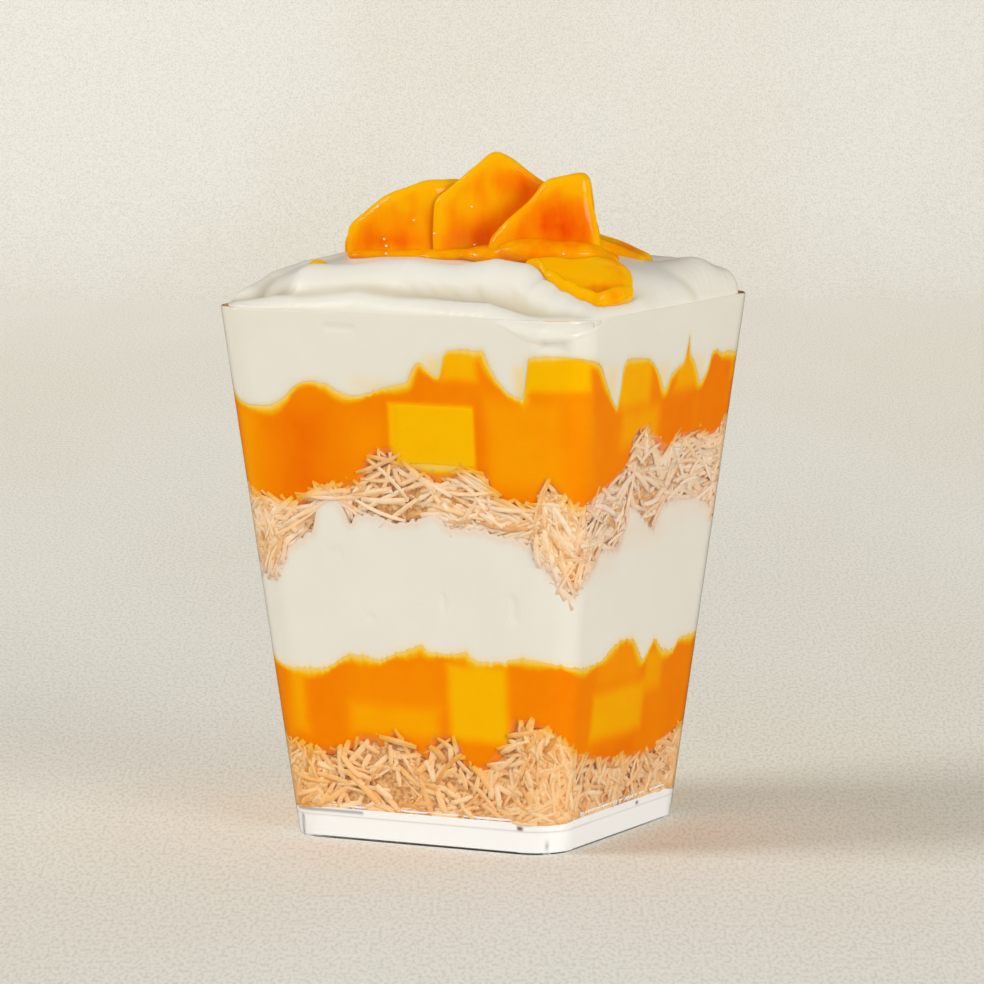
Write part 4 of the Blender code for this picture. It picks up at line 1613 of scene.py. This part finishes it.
    def build(self, strand: bpy.types.Material, core: bpy.types.Material) -> None:
        """Build and dress the core and the shreds.

        Args:
            strand: the shreds' finish.
            core: the core's.
        """
        heap = HeapCore(f"{self.name}_core", self.below, self.above, self.core_inset,
                        wall_rows=22, side_steps=110, corner_steps=10, overlap=-0.25 * MM)
        add_piece(heap.name, heap.mesh()[0], core)
        add_piece(f"{self.name}_strands", self.strand_mesh(), strand, [self.name])


# ---------------------------------------------------------------- the swirl of cream

# Each roll of cream is a path of (across, front, crest height), its half width and its fall, in
# mm. Across and front are the axes that the pile of mango has too.
SWIRL_ROLLS = [
    ([(-14, 4, 87.0), (12, 4, 87.2)], 20, 7.0),
    ([(-27.5, 9, 84.8), (-25.1, 13.5, 86.2), (-11.1, 20, 87.5), (-4.6, 22, 87.0),
      (1.5, 24, 87.8), (5.0, 25.5, 87.3), (8.0, 27.5, 85.0), (10.8, 29.5, 83.6),
      (13.6, 31, 82.6), (17, 32.5, 81.6)], 4.8, 5.6),
    ([(17, 32.5, 82.2), (22.6, 24, 83.0), (26.4, 14, 83.6), (30.1, 6, 83.2), (36, -4, 81.6)],
     3.0, 3.0),
    ([(-36, 13.5, 81.0), (-31, 15.5, 82.0), (-25.4, 18.6, 82.7), (-18.9, 21.6, 83.5),
      (-13.7, 24.2, 83.0), (-6.7, 27.8, 82.4), (-0.3, 31, 82.1), (6, 34, 80.6)], 3.0, 2.8),
    ([(25, 2, 85.4), (31, -4, 86.1), (35, -9, 84.4)], 6.5, 5.0),
    ([(-35.5, 6, 83.2), (-31, 2, 84.8), (-26, 0, 85.9), (-20, -2, 87.0)], 5.0, 4.2),
    ([(-20, -8, 86.2), (-10, -22, 86.0), (1, -31, 84.4)], 8, 5.0),
    ([(2, -18, 86.6), (14, -17, 86.2), (27, -13, 85.2)], 9, 5.0),
    ([(-37, 5, 81.8), (-30, -9, 82.8), (-23, -23, 82.4), (-15, -36, 81.2)], 3.2, 3.0),
    ([(-11, -37, 81.8), (5, -30, 83.0), (19, -24, 82.8), (34, -16, 81.6)], 3.4, 3.0),
]


def cream_top(x: Array, y: Array, blend: float = 0.24, base: float = 80.6,
              turn: float = math.radians(26.7)) -> Array:
    """The height of the swirl's rolls over points, blended where they meet.

    Args:
        x: offsets to the right in metres.
        y: offsets to the back in metres.
        blend: how far the rolls run together, in mm.
        base: the level between them, in mm.
        turn: how far the rolls' axes are turned from the cup's.

    Returns:
        Heights in metres.
    """
    x, y = ((x * math.cos(turn) + y * math.sin(turn)) / MM,
            (x * math.sin(turn) - y * math.cos(turn)) / MM)
    heights = [np.full(np.shape(x), base)]
    for path, half_width, fall in SWIRL_ROLLS:
        best = np.full(np.shape(x), -math.inf)
        for start, end in zip(path, path[1:]):
            run_x, run_y = end[0] - start[0], end[1] - start[1]
            share = ((x - start[0]) * run_x + (y - start[1]) * run_y) / (run_x**2 + run_y**2)
            share = np.clip(share, 0, 1)
            away = np.hypot(x - start[0] - share * run_x, y - start[1] - share * run_y)
            crest = between(start[2], end[2], share)
            rounded = np.sqrt(np.clip(1 - (away / half_width) ** 2, 0, 1))
            fallen = crest - fall * (1 - rounded) - np.clip(away - half_width, 0, None)
            best = np.maximum(best, fallen)
        heights.append(best)
    heights = np.array(heights)
    top = heights.max(axis=0)
    return (top + blend * np.log(np.exp((heights - top) / blend).sum(axis=0))) * MM


@dataclass
class CreamSwirl(CreamLayer):
    """The cream over the upper mango, swirled in rolls above the rim."""

    core_reach: float = 0.955
    core_inset: float = 1.2 * MM
    edge_power: float = 18.0
    edge_reaches: Sequence[float] = (0.9985, 0.995, 0.988, 0.978, 0.967)
    middle_reach: float = 0.02
    rings: int = 58
    wall_rows: int = 30
    side_steps: int = 130
    corner_steps: int = 12
    lumps: float = 0.35 * MM
    lump_size: float = 9 * MM
    crease_reach: float = 2.4 * MM
    crease_depth: float = 0.9 * MM
    crease_turns: int = 8
    # how strong the painted shade in the creases is at most
    crease_shade_share: float = 0.8

    def crease_shade(self, points: Array) -> Array:
        """The painted shade of points of the top, by how far they lie below the cream round them.

        Args:
            points: a row of x, y and z each.

        Returns:
            A share for each point.
        """
        x, y, z = points.T
        turns = np.arange(self.crease_turns) * math.tau / self.crease_turns
        round_it = sum(cream_top(x + self.crease_reach * math.cos(turn),
                                 y + self.crease_reach * math.sin(turn)) for turn in turns)
        over = round_it / self.crease_turns - cream_top(x, y)
        return np.clip(over / self.crease_depth, 0, 1) * (z > PLAN.height) * self.crease_shade_share

    def reaches(self) -> Array:
        """How far out each ring of the top is, from the wall to the middle."""
        rings = np.linspace(self.core_reach, self.middle_reach, self.rings)
        return np.array([*self.edge_reaches, *rings])

    def first_ring(self) -> int:
        """The row number of the top's first ring."""
        return len(INNER_ROWS) + self.wall_rows

    def rows(self) -> Array:
        """The rows of the underside and the wall, with the top's rings after them.

        Returns:
            Four numbers a row.
        """
        wall = super().rows()[:self.first_ring()]
        top = [(1.0, 0.0, 1.0, 0.0)] * len(self.reaches())
        return np.array([*wall, *top])

    def shape(self, place: Array, row: Array) -> Array:
        """The points of the swirl for places and rows.

        Args:
            place: places round the wall.
            row: the row of each.

        Returns:
            One row of x, y and z a point.
        """
        points = super().shape(place, row)
        on_top = row >= self.first_ring()
        reach = self.reaches()[row[on_top] - self.first_ring()]
        within = np.minimum((1 - reach) / (1 - self.core_reach), 1)
        spread = PLAN.outline(place[on_top], np.full(len(reach), PLAN.height),
                              self.inset + self.core_inset * within)
        spread[:, :2] *= np.minimum(reach / self.core_reach, 1)[:, None]
        top = cream_top(spread[:, 0], spread[:, 1])
        top += [noise.noise(Vector((x, y, 0)) / self.lump_size) * self.lumps
                for x, y, _ in spread]
        rise = np.sqrt(np.clip(1 - reach ** self.edge_power, 0, 1))
        spread[:, 2] = between(self.above.height(place[on_top]), top, rise)
        points[on_top] = spread
        return points


# ---------------------------------------------------------------- the mango on top

@dataclass(frozen=True)
class Chunk:
    """A cut piece of mango on the pile, in mm: its place, size, turn in degrees and cuts.

    A thin piece that lies on the cream has an outline of (across, front) points, and only the
    height of its place and its thickness count.
    """

    name: str
    middle: tuple[float, float, float]
    size: tuple[float, float, float]
    turn: tuple[float, float, float]
    cuts: Sequence[tuple] = ()
    outline: Sequence[tuple[float, float]] = ()


CHUNKS = (
    Chunk("mango_right", (9.2, 8, 91.9), (16.8, 11, 14.4), (0, 0, 0),
          [((-4.2, -4, 1.8), (-1, 0.3, 1)), ((0.1, -4, 6.1), (-0.26, 0.3, 0.96)),
           ((6.2, 0, 3.2), (0.98, 0, 0.18))]),
    Chunk("mango_middle", (1.5, 1.0, 93.5), (18, 13, 17.4), (0, 0, 0),
          [((0, -4, 8.3), (-0.64, 0.3, 0.77)), ((0, -4, 8.3), (0.55, 0.3, 0.83))]),
    Chunk("mango_left", (-11.8, 0.8, 91.4), (17, 11, 12.6), (0, 0, 5),
          [((-3.6, -4, 4.0), (-0.57, 0.3, 0.82)), ((-3.6, -4, 4.0), (-0.28, 0.3, 0.96)),
           ((-3, -5.5, 0), (-0.55, -0.83, 0))]),
    Chunk("mango_slab", (19.2, 0, 86.1), (9.8, 8, 3.8), (0, 21, -10)),
    Chunk("mango_slice", (0, 0, 0.3), (16, 18, 2.2), (0, 0, 0), outline=[
        (6.0, 15.5), (9, 13), (15.5, 12.5), (18.8, 14), (21.4, 18), (21.2, 24), (19.6, 28.4),
        (16.6, 30.6), (12.6, 29.8), (9.2, 27.6), (6.6, 23.5)]),
    Chunk("mango_chip", (-24.9, 8.0, 84.9), (2.6, 3, 2.6), (0, -30, 25)),
    Chunk("mango_back_left", (-6.5, -10, 89.4), (12, 10.5, 10), (6, 8, 24),
          [((3, 0, 3.6), (0.9, 0, 1))]),
    Chunk("mango_back_right", (8, -11, 90.0), (12.5, 9.5, 9.5), (-5, -9, -18),
          [((-4, 0, 3), (-0.8, -0.3, 1))]),
)


# How deep the pile's colour is round a point, partly the fruit's own tone and partly painted
# light and shade (yellow where light shines through the flesh, deep orange where it doesn't): its
# (across, height), its reach both ways in mm, and the tone there
PILE_TONES_AND_PAINTED_LIGHT = [
    ((10.8, 92.2), (4.6, 3.8), 0.04), ((-1.6, 90.3), (3.4, 1.6), 0.24),
    ((-15.6, 88.8), (4.5, 2.4), 0.15), ((5.0, 98.0), (3.6, 2.2), 0.38),
    ((1.4, 101.4), (3.0, 2.2), 1.0), ((-8.0, 95.6), (5.5, 1.4), 0.9),
    ((-20.4, 92.0), (2.2, 3.4), 0.85), ((14.0, 98.0), (3.2, 1.8), 1.1),
    ((17.0, 93.0), (1.1, 5.0), 0.85), ((-6.4, 92.0), (0.9, 3.0), 0.85),
    ((-10, 87.4), (9.0, 1.0), 0.8), ((12.5, 85.0), (6.0, 2.6), 1.5),
    ((17.6, 83.4), (3.0, 1.0), 0.55), ((21.6, 83.0), (1.2, 2.6), 0.9),
    ((21.0, 87.6), (3, 1.6), 0.4),
]

# Pools of puree at the foot of the pile: (across, front, height) and half widths, in mm
PUREE_POOLS = [
    ((-16.8, 5.4, 86.9), (4.4, 3.0, 1.0)), ((-11.5, 5.8, 86.9), (5.4, 3.6, 1.1)),
    ((-5.0, 7.4, 87.0), (6.0, 4.0, 1.1)), ((1.6, 10.6, 87.4), (5.4, 4.4, 1.5)),
    ((7.0, 13.0, 88.2), (6.0, 4.4, 2.0)), ((12.4, 13.0, 87.9), (5.4, 4.4, 1.9)),
    ((16.6, 12.0, 86.8), (3.4, 4.0, 1.4)),
]

# Beads of juice on the pile, by (across, height) in mm
JUICE_BEADS = [(-15.2, 89.4), (-14.9, 88.4), (-14.9, 87.3), (-7.7, 90.3), (-2.2, 94.3),
               (-1.7, 88.6), (-1.7, 87.6), (-16.2, 94.2), (7.6, 84.8), (2.6, 91.6),
               (11.4, 88.0), (-10.8, 92.2)]


def remeshed(name: str, bm: bmesh.types.BMesh, voxel: float, smoothing: int,
             ) -> bmesh.types.BMesh:
    """A closed shape remade in small even faces and rounded.

    Args:
        name: the name of the mesh that it passes through.
        bm: the shape, which is freed.
        voxel: the size of its new faces.
        smoothing: how many times its edges are softened.

    Returns:
        The new shape.
    """
    mesh = mesh_of(name, bm)
    helper = bpy.data.objects.new(name, mesh)
    bpy.context.scene.collection.objects.link(helper)
    remesh = helper.modifiers.new("even", "REMESH")
    remesh.mode = "VOXEL"
    remesh.voxel_size = voxel
    bpy.context.view_layer.update()
    graph = bpy.context.evaluated_depsgraph_get()
    even = bpy.data.meshes.new_from_object(helper.evaluated_get(graph))
    made = bmesh.new()
    made.from_mesh(even)
    bpy.data.objects.remove(helper)
    bpy.data.meshes.remove(even)
    bpy.data.meshes.remove(mesh)
    for _ in range(smoothing):
        bmesh.ops.smooth_vert(made, verts=made.verts[:], factor=0.5, use_axis_x=True,
                              use_axis_y=True, use_axis_z=True)
    made.normal_update()
    return made


@dataclass
class MangoPile:
    """Cut pieces of mango on the cream, softened at their edges, with puree and juice."""

    turn: float = math.radians(26.7)
    voxel: float = 0.34 * MM
    smoothing: int = 22
    dents: float = 0.4 * MM
    dent_size: float = 4.0 * MM
    swell: float = 0.45 * MM
    # painted light and shade: each piece runs from deep orange low down to yellower high up, for
    # light from above shining through the flesh
    tones: tuple[float, float] = (0.5, 0.82)
    bead: float = 0.24 * MM
    bead_flatness: float = 0.8
    in_front: float = 60 * MM
    ridge_height: float = 0.02 * MM
    # painted highlight: how much yellower the tone is on ridges
    ridge_highlight: float = 0.3
    chunks: Sequence[Chunk] = CHUNKS

    def frame(self) -> Matrix:
        """The pile's own axes: across, back and up."""
        return Matrix.Rotation(self.turn, 4, "Z")

    def block(self, chunk: Chunk) -> bmesh.types.BMesh:
        """A chunk's block with its planes cut, about its own middle.

        Args:
            chunk: the chunk.

        Returns:
            The block.
        """
        bm = bmesh.new()
        size = [length * MM for length in chunk.size]
        if chunk.outline:
            bmesh.ops.create_circle(bm, cap_ends=True, segments=len(chunk.outline), radius=1)
            for vert, (across, front) in zip(bm.verts, chunk.outline):
                vert.co = Vector((across * MM, -front * MM, -size[2] / 2))
            grown = bmesh.ops.extrude_face_region(bm, geom=bm.faces[:])["geom"]
            bmesh.ops.translate(bm, vec=(0, 0, size[2]), verts=[
                item for item in grown if isinstance(item, bmesh.types.BMVert)])
        else:
            bmesh.ops.create_cube(bm, size=1, matrix=Matrix.Diagonal((*size, 1)))
        for point, normal in chunk.cuts:
            everything = bm.verts[:] + bm.edges[:] + bm.faces[:]
            cut = bmesh.ops.bisect_plane(bm, geom=everything, plane_co=Vector(point) * MM,
                                         plane_no=Vector(normal), clear_outer=True)
            rim = [item for item in cut["geom_cut"] if isinstance(item, bmesh.types.BMEdge)]
            bmesh.ops.contextual_create(bm, geom=rim)
        bmesh.ops.recalc_face_normals(bm, faces=bm.faces[:])
        return bm

    def ridges(self, bm: bmesh.types.BMesh) -> list[float]:
        """How far each vertex stands out from those round it, from 0 to 1.

        Args:
            bm: the shape.

        Returns:
            A share for each vertex.
        """
        found = []
        for vert in bm.verts:
            round_it = [edge.other_vert(vert).co for edge in vert.link_edges]
            middle = sum(round_it, Vector()) / len(round_it)
            found.append(min(max((vert.co - middle).dot(vert.normal) / self.ridge_height, 0), 1))
        return found

    def dress(self, mesh: bpy.types.Mesh, ridges: Sequence[float] | float = 0.0) -> None:
        """Store the tone of each vertex: painted shade deeper low down, the fruit's tones and
        painted light from the table round given points, and a painted highlight of yellow on
        ridges.

        Args:
            mesh: the mesh.
            ridges: how far each vertex stands out, from 0 to 1.
        """
        points = coordinates(mesh) / MM
        across = points @ np.array([math.cos(self.turn), math.sin(self.turn), 0])
        z = points[:, 2]
        # painted shade low down and painted light high up on each piece
        tone = between(*self.tones, smooth((z - z.min()) / np.ptp(z)))
        # the fruit's tones, with painted light and shade, round given points
        for (middle, height), (wide, high), value in PILE_TONES_AND_PAINTED_LIGHT:
            away = ((across - middle) / wide) ** 2 + ((z - height) / high) ** 2
            tone = between(tone, value, np.exp(-away))
        # painted highlight of yellow on the ridges
        paint(mesh, "tone", tone + self.ridge_highlight * np.array(ridges))
        paint(mesh, "fringe", np.zeros(len(z)))

    def chunk_mesh(self, chunk: Chunk) -> bpy.types.Mesh:
        """A chunk in its place, with soft edges, shallow dents and its tones.

        Args:
            chunk: the chunk.

        Returns:
            Its mesh.
        """
        name = f"{chunk.name}_cut"
        bm = remeshed(name, self.block(chunk), self.voxel, self.smoothing)
        shift = Vector(chunk.middle)
        for vert in bm.verts:
            dent = noise.noise(vert.co / self.dent_size + shift)
            vert.co += vert.normal * (dent * self.dents + self.swell)
        across, front, up = (length * MM for length in chunk.middle)
        tilt, roll, turn = (math.radians(angle) for angle in chunk.turn)
        grid = (self.frame() @ Matrix.Translation((across, -front, up))
                @ Matrix.Rotation(turn, 4, "Z") @ Matrix.Rotation(tilt, 4, "X")
                @ Matrix.Rotation(roll, 4, "Y"))
        bmesh.ops.transform(bm, matrix=grid, verts=bm.verts[:])
        ridges = self.ridges(bm)
        mesh = mesh_of(name, bm)
        if chunk.outline:
            points = coordinates(mesh)
            points[:, 2] += cream_top(points[:, 0], points[:, 1])
            place_vertices(mesh, points)
        self.dress(mesh, ridges)
        return mesh

    def puree_mesh(self) -> bpy.types.Mesh:
        """The puree round the foot of the pile, run together from its pools.

        Returns:
            Its mesh.
        """
        bm = bmesh.new()
        for (across, front, up), reach in PUREE_POOLS:
            place = self.frame() @ Matrix.Translation(Vector((across, -front, up)) * MM)
            size = Matrix.Diagonal((*(length * MM for length in reach), 1))
            bmesh.ops.create_icosphere(bm, subdivisions=3, radius=1, matrix=place @ size)
        mesh = mesh_of("mango_puree", remeshed("mango_puree", bm, self.voxel, self.smoothing))
        self.dress(mesh)
        return mesh

    def beads_mesh(self, surfaces: Sequence[bpy.types.Mesh]) -> bpy.types.Mesh:
        """Beads of juice, each half sunk in the first surface behind its place.

        Args:
            surfaces: the surfaces that they may lie on.

        Returns:
            The beads as one mesh.
        """
        trees = []
        for surface in surfaces:
            bm = bmesh.new()
            bm.from_mesh(surface)
            trees.append(BVHTree.FromBMesh(bm))
            bm.free()
        made = bmesh.new()
        inward = self.frame() @ Vector((0, 1, 0))
        for across, up in JUICE_BEADS:
            start = self.frame() @ Vector((across * MM, -self.in_front, up * MM))
            hits = [tree.ray_cast(start, inward) for tree in trees]
            near = min((hit for hit in hits if hit[0]), key=lambda hit: hit[3], default=None)
            if near:
                flat = Matrix.Diagonal((1, 1, self.bead_flatness, 1))
                grid = Matrix.Translation(near[0]) @ flat
                bmesh.ops.create_icosphere(made, subdivisions=2, radius=self.bead, matrix=grid)
        mesh = mesh_of("juice_beads", made)
        self.dress(mesh)
        return mesh

    def build(self, material: bpy.types.Material) -> None:
        """Build and dress every chunk, the puree and the beads of juice.

        Args:
            material: the mango's finish.
        """
        surfaces = []
        for chunk in self.chunks:
            surfaces.append(self.chunk_mesh(chunk))
            add_piece(f"{chunk.name}_cut", surfaces[-1], material, [chunk.name])
        surfaces.append(self.puree_mesh())
        add_piece("mango_puree", surfaces[-1], material)
        add_piece("juice_beads", self.beads_mesh(surfaces), JuiceFinish().make())


# ---------------------------------------------------------------- the studio

@dataclass
class Studio:
    """A plain plaster floor and backdrop, soft lamps and the camera."""

    azimuth: float = math.radians(26.7)
    elevation: float = math.radians(6.78)
    distance: float = 0.929
    aim_right: float = 0.86 * MM
    aim_height: float = 50.65 * MM
    focal_pixels: float = 6160.0
    image_pixels: float = 984.0
    sensor: float = 36.0
    world_strength: float = 0.41
    room_tint: Colour = (1.0, 1.0, 1.0, 1.0)
    gloss_share: float = 0.15
    key_power: float = 44.0
    fill_power: float = 49.0
    wash_power: float = 0.8
    wash_spread: float = math.radians(95)
    wash_size: tuple[float, float] = (2.0, 0.6)
    wash_behind: float = 0.95
    wash_height: float = 0.9
    floor_front: float = 3.5
    floor_end: float = 0.9
    sweep: float = 0.6
    sweep_rows: int = 96
    wall_height: float = 3.0
    clip: tuple[float, float] = (0.01, 20)

    def axes(self) -> tuple[Vector, Vector, Vector]:
        """The view's right, up and backward directions.

        Returns:
            The three unit vectors.
        """
        level, rise = self.azimuth, self.elevation
        right = Vector((math.cos(level), math.sin(level), 0))
        back = Vector((math.sin(level) * math.cos(rise), -math.cos(level) * math.cos(rise),
                       math.sin(rise)))
        return right, back.cross(right), back

    def add_camera(self) -> None:
        """The camera at its viewing angle."""
        right, up, back = self.axes()
        lens = bpy.data.cameras.new("camera")
        lens.sensor_width = self.sensor
        lens.lens = self.focal_pixels / self.image_pixels * self.sensor
        lens.clip_start, lens.clip_end = self.clip
        camera = bpy.data.objects.new("camera", lens)
        grid = Matrix((right, up, back)).transposed().to_4x4()
        aim = right * self.aim_right + Vector((0, 0, self.aim_height))
        grid.translation = aim + back * self.distance
        camera.matrix_world = grid
        bpy.context.scene.collection.objects.link(camera)
        bpy.context.scene.camera = camera

    def add_sweep(self) -> None:
        """A plaster floor that curves up into a wall behind; it isn't part of the object."""
        rows, bend = self.sweep_rows, math.pi / 2
        bm = bmesh.new()
        bmesh.ops.create_grid(bm, x_segments=1, y_segments=rows, size=1)
        for vert in bm.verts:
            step = (vert.co.y + 1) / 2 * rows
            share = min(max((step - 1) / (rows - 2), 0), 1)
            past = max(step - (rows - 1), 0)
            depth = self.floor_end + self.sweep * math.sin(bend * share)
            height = self.sweep * (1 - math.cos(bend * share)) + past * self.wall_height
            if step < 0.5:
                depth, height = -self.floor_front, 0
            vert.co = Vector((vert.co.x * self.floor_front, depth, height))
        grid = Matrix.Rotation(self.azimuth, 4, "Z")
        bmesh.ops.transform(bm, matrix=grid, verts=bm.verts[:])
        mesh = mesh_of("studio_sweep", bm)
        mesh.materials.append(PlasterFinish(self.azimuth).make())
        sheet = bpy.data.objects.new("studio_sweep", mesh)
        bpy.context.scene.collection.objects.link(sheet)

    def add_room(self) -> None:
        """Soft light from all round, which shows dimmer in things that mirror it."""
        world = bpy.data.worlds.new("room")
        world.use_nodes = True
        mixture = Mixture(world.node_tree)
        change = (self.gloss_share - 1) * self.world_strength
        changed = mixture.math("MULTIPLY", mixture.mirrored(), change)
        mixture.feed(world.node_tree.nodes["Background"], Color=self.room_tint,
                     Strength=mixture.math("ADD", changed, self.world_strength))
        bpy.context.scene.world = world

    def add_lamp(self, name: str, bearing: float, elevation: float, distance: float,
                 size: tuple[float, float], power: float) -> None:
        """A softbox that faces the cup.

        Args:
            name: the lamp's name.
            bearing: degrees to the right of the camera, seen from the cup.
            elevation: degrees above the floor.
            distance: metres from the cup.
            size: its width and height in metres.
            power: its watts.
        """
        level, rise = self.azimuth + math.radians(bearing), math.radians(elevation)
        out = Vector((math.sin(level) * math.cos(rise), -math.cos(level) * math.cos(rise),
                      math.sin(rise)))
        self.hang(name, out * distance + Vector((0, 0, self.aim_height)), out, size, power)

    def hang(self, name: str, where: Vector, out: Vector, size: tuple[float, float],
             power: float, spread: float = math.pi) -> None:
        """A softbox at a point, which shines against the direction out.

        Args:
            name: the lamp's name.
            where: its place.
            out: the way behind it.
            size: its width and height in metres.
            power: its watts.
            spread: how wide it shines.
        """
        lamp = bpy.data.lights.new(name, "AREA")
        lamp.spread = spread
        lamp.shape = "RECTANGLE"
        lamp.size, lamp.size_y = size
        lamp.energy = power
        made = bpy.data.objects.new(name, lamp)
        made.location = where
        made.rotation_mode = "QUATERNION"
        made.rotation_quaternion = out.to_track_quat("Z", "Y")
        bpy.context.scene.collection.objects.link(made)

    def build(self) -> None:
        """Set up the whole studio."""
        self.add_sweep()
        self.add_room()
        self.add_lamp("key", bearing=-80, elevation=31, distance=3.0, size=(1.3, 1.3),
                      power=self.key_power)
        self.add_lamp("front_fill", bearing=39, elevation=10, distance=3.0, size=(1.6, 1.2),
                      power=self.fill_power)
        over_sweep = Matrix.Rotation(self.azimuth, 3, "Z") @ Vector(
            (0, self.wash_behind, self.wash_height))
        self.hang("sweep_wash", over_sweep, Vector((0, 0, 1)), self.wash_size,
                  self.wash_power, self.wash_spread)
        bpy.context.scene.view_settings.view_transform = "Standard"
        self.add_camera()


# ---------------------------------------------------------------- the whole dessert


def main() -> None:
    """Build the studio and every piece of the dessert."""
    logging.basicConfig(level=logging.INFO, format="%(name)s %(message)s")
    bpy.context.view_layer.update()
    Studio().build()
    cream = CreamFinish().make()
    pressed = CreamFinish("cream_pressed_look", gloss=0.0, subsurface=0.0).make()
    mango = MANGO_BEHIND_WALL.make()
    strand, core = StrandFinish().make(), CoreFinish().make()
    toasted = StrandFinish("kunafa_toasted_look", linear(255, 220, 172), linear(250, 192, 118),
                           linear(220, 142, 56)).make()
    DessertCup().build()
    PaintedLightFootLining().build()
    KunafaLayer("kunafa_bottom", FLOOR, KUNAFA_BOTTOM_TOP, seed=21, tilt=75,
                hazes=BOTTOM_HAZES).build(toasted, core)
    MangoLayer("mango_lower", KUNAFA_BOTTOM_TOP, MANGO_LOWER_TOP, 1.16 * MM,
               tones=LOWER_TONES, dice=LOWER_DICE).build(mango)
    CreamLayer("cream_middle", MANGO_LOWER_TOP, CREAM_MIDDLE_TOP, 1.2 * MM,
               pits=CREAM_PITS, crumb_depth=1.4 * MM, crumbs=CREAM_CRUMBS).build(pressed)
    KunafaLayer("kunafa_upper", CREAM_MIDDLE_TOP, KUNAFA_UPPER_TOP, seed=22, tilt=38,
                length=(4.5 * MM, 9.5 * MM), width=(0.65 * MM, 1.0 * MM),
                hazes=UPPER_HAZES, creamed_below=True).build(strand, core)
    MangoLayer("mango_upper", KUNAFA_UPPER_TOP, MANGO_UPPER_TOP, 1.16 * MM,
               tones=UPPER_TONES, dice=UPPER_DICE, pale_spots=PALE_SPOTS).build(mango)
    CreamSwirl("cream_swirl", MANGO_UPPER_TOP, SWIRL_CONTACT, 1.2 * MM, stains=SWIRL_STAINS,
               pits=SWIRL_PITS).build(cream)
    MangoPile().build(MANGO_ON_TOP.make())


if __name__ == "__main__":
    main()
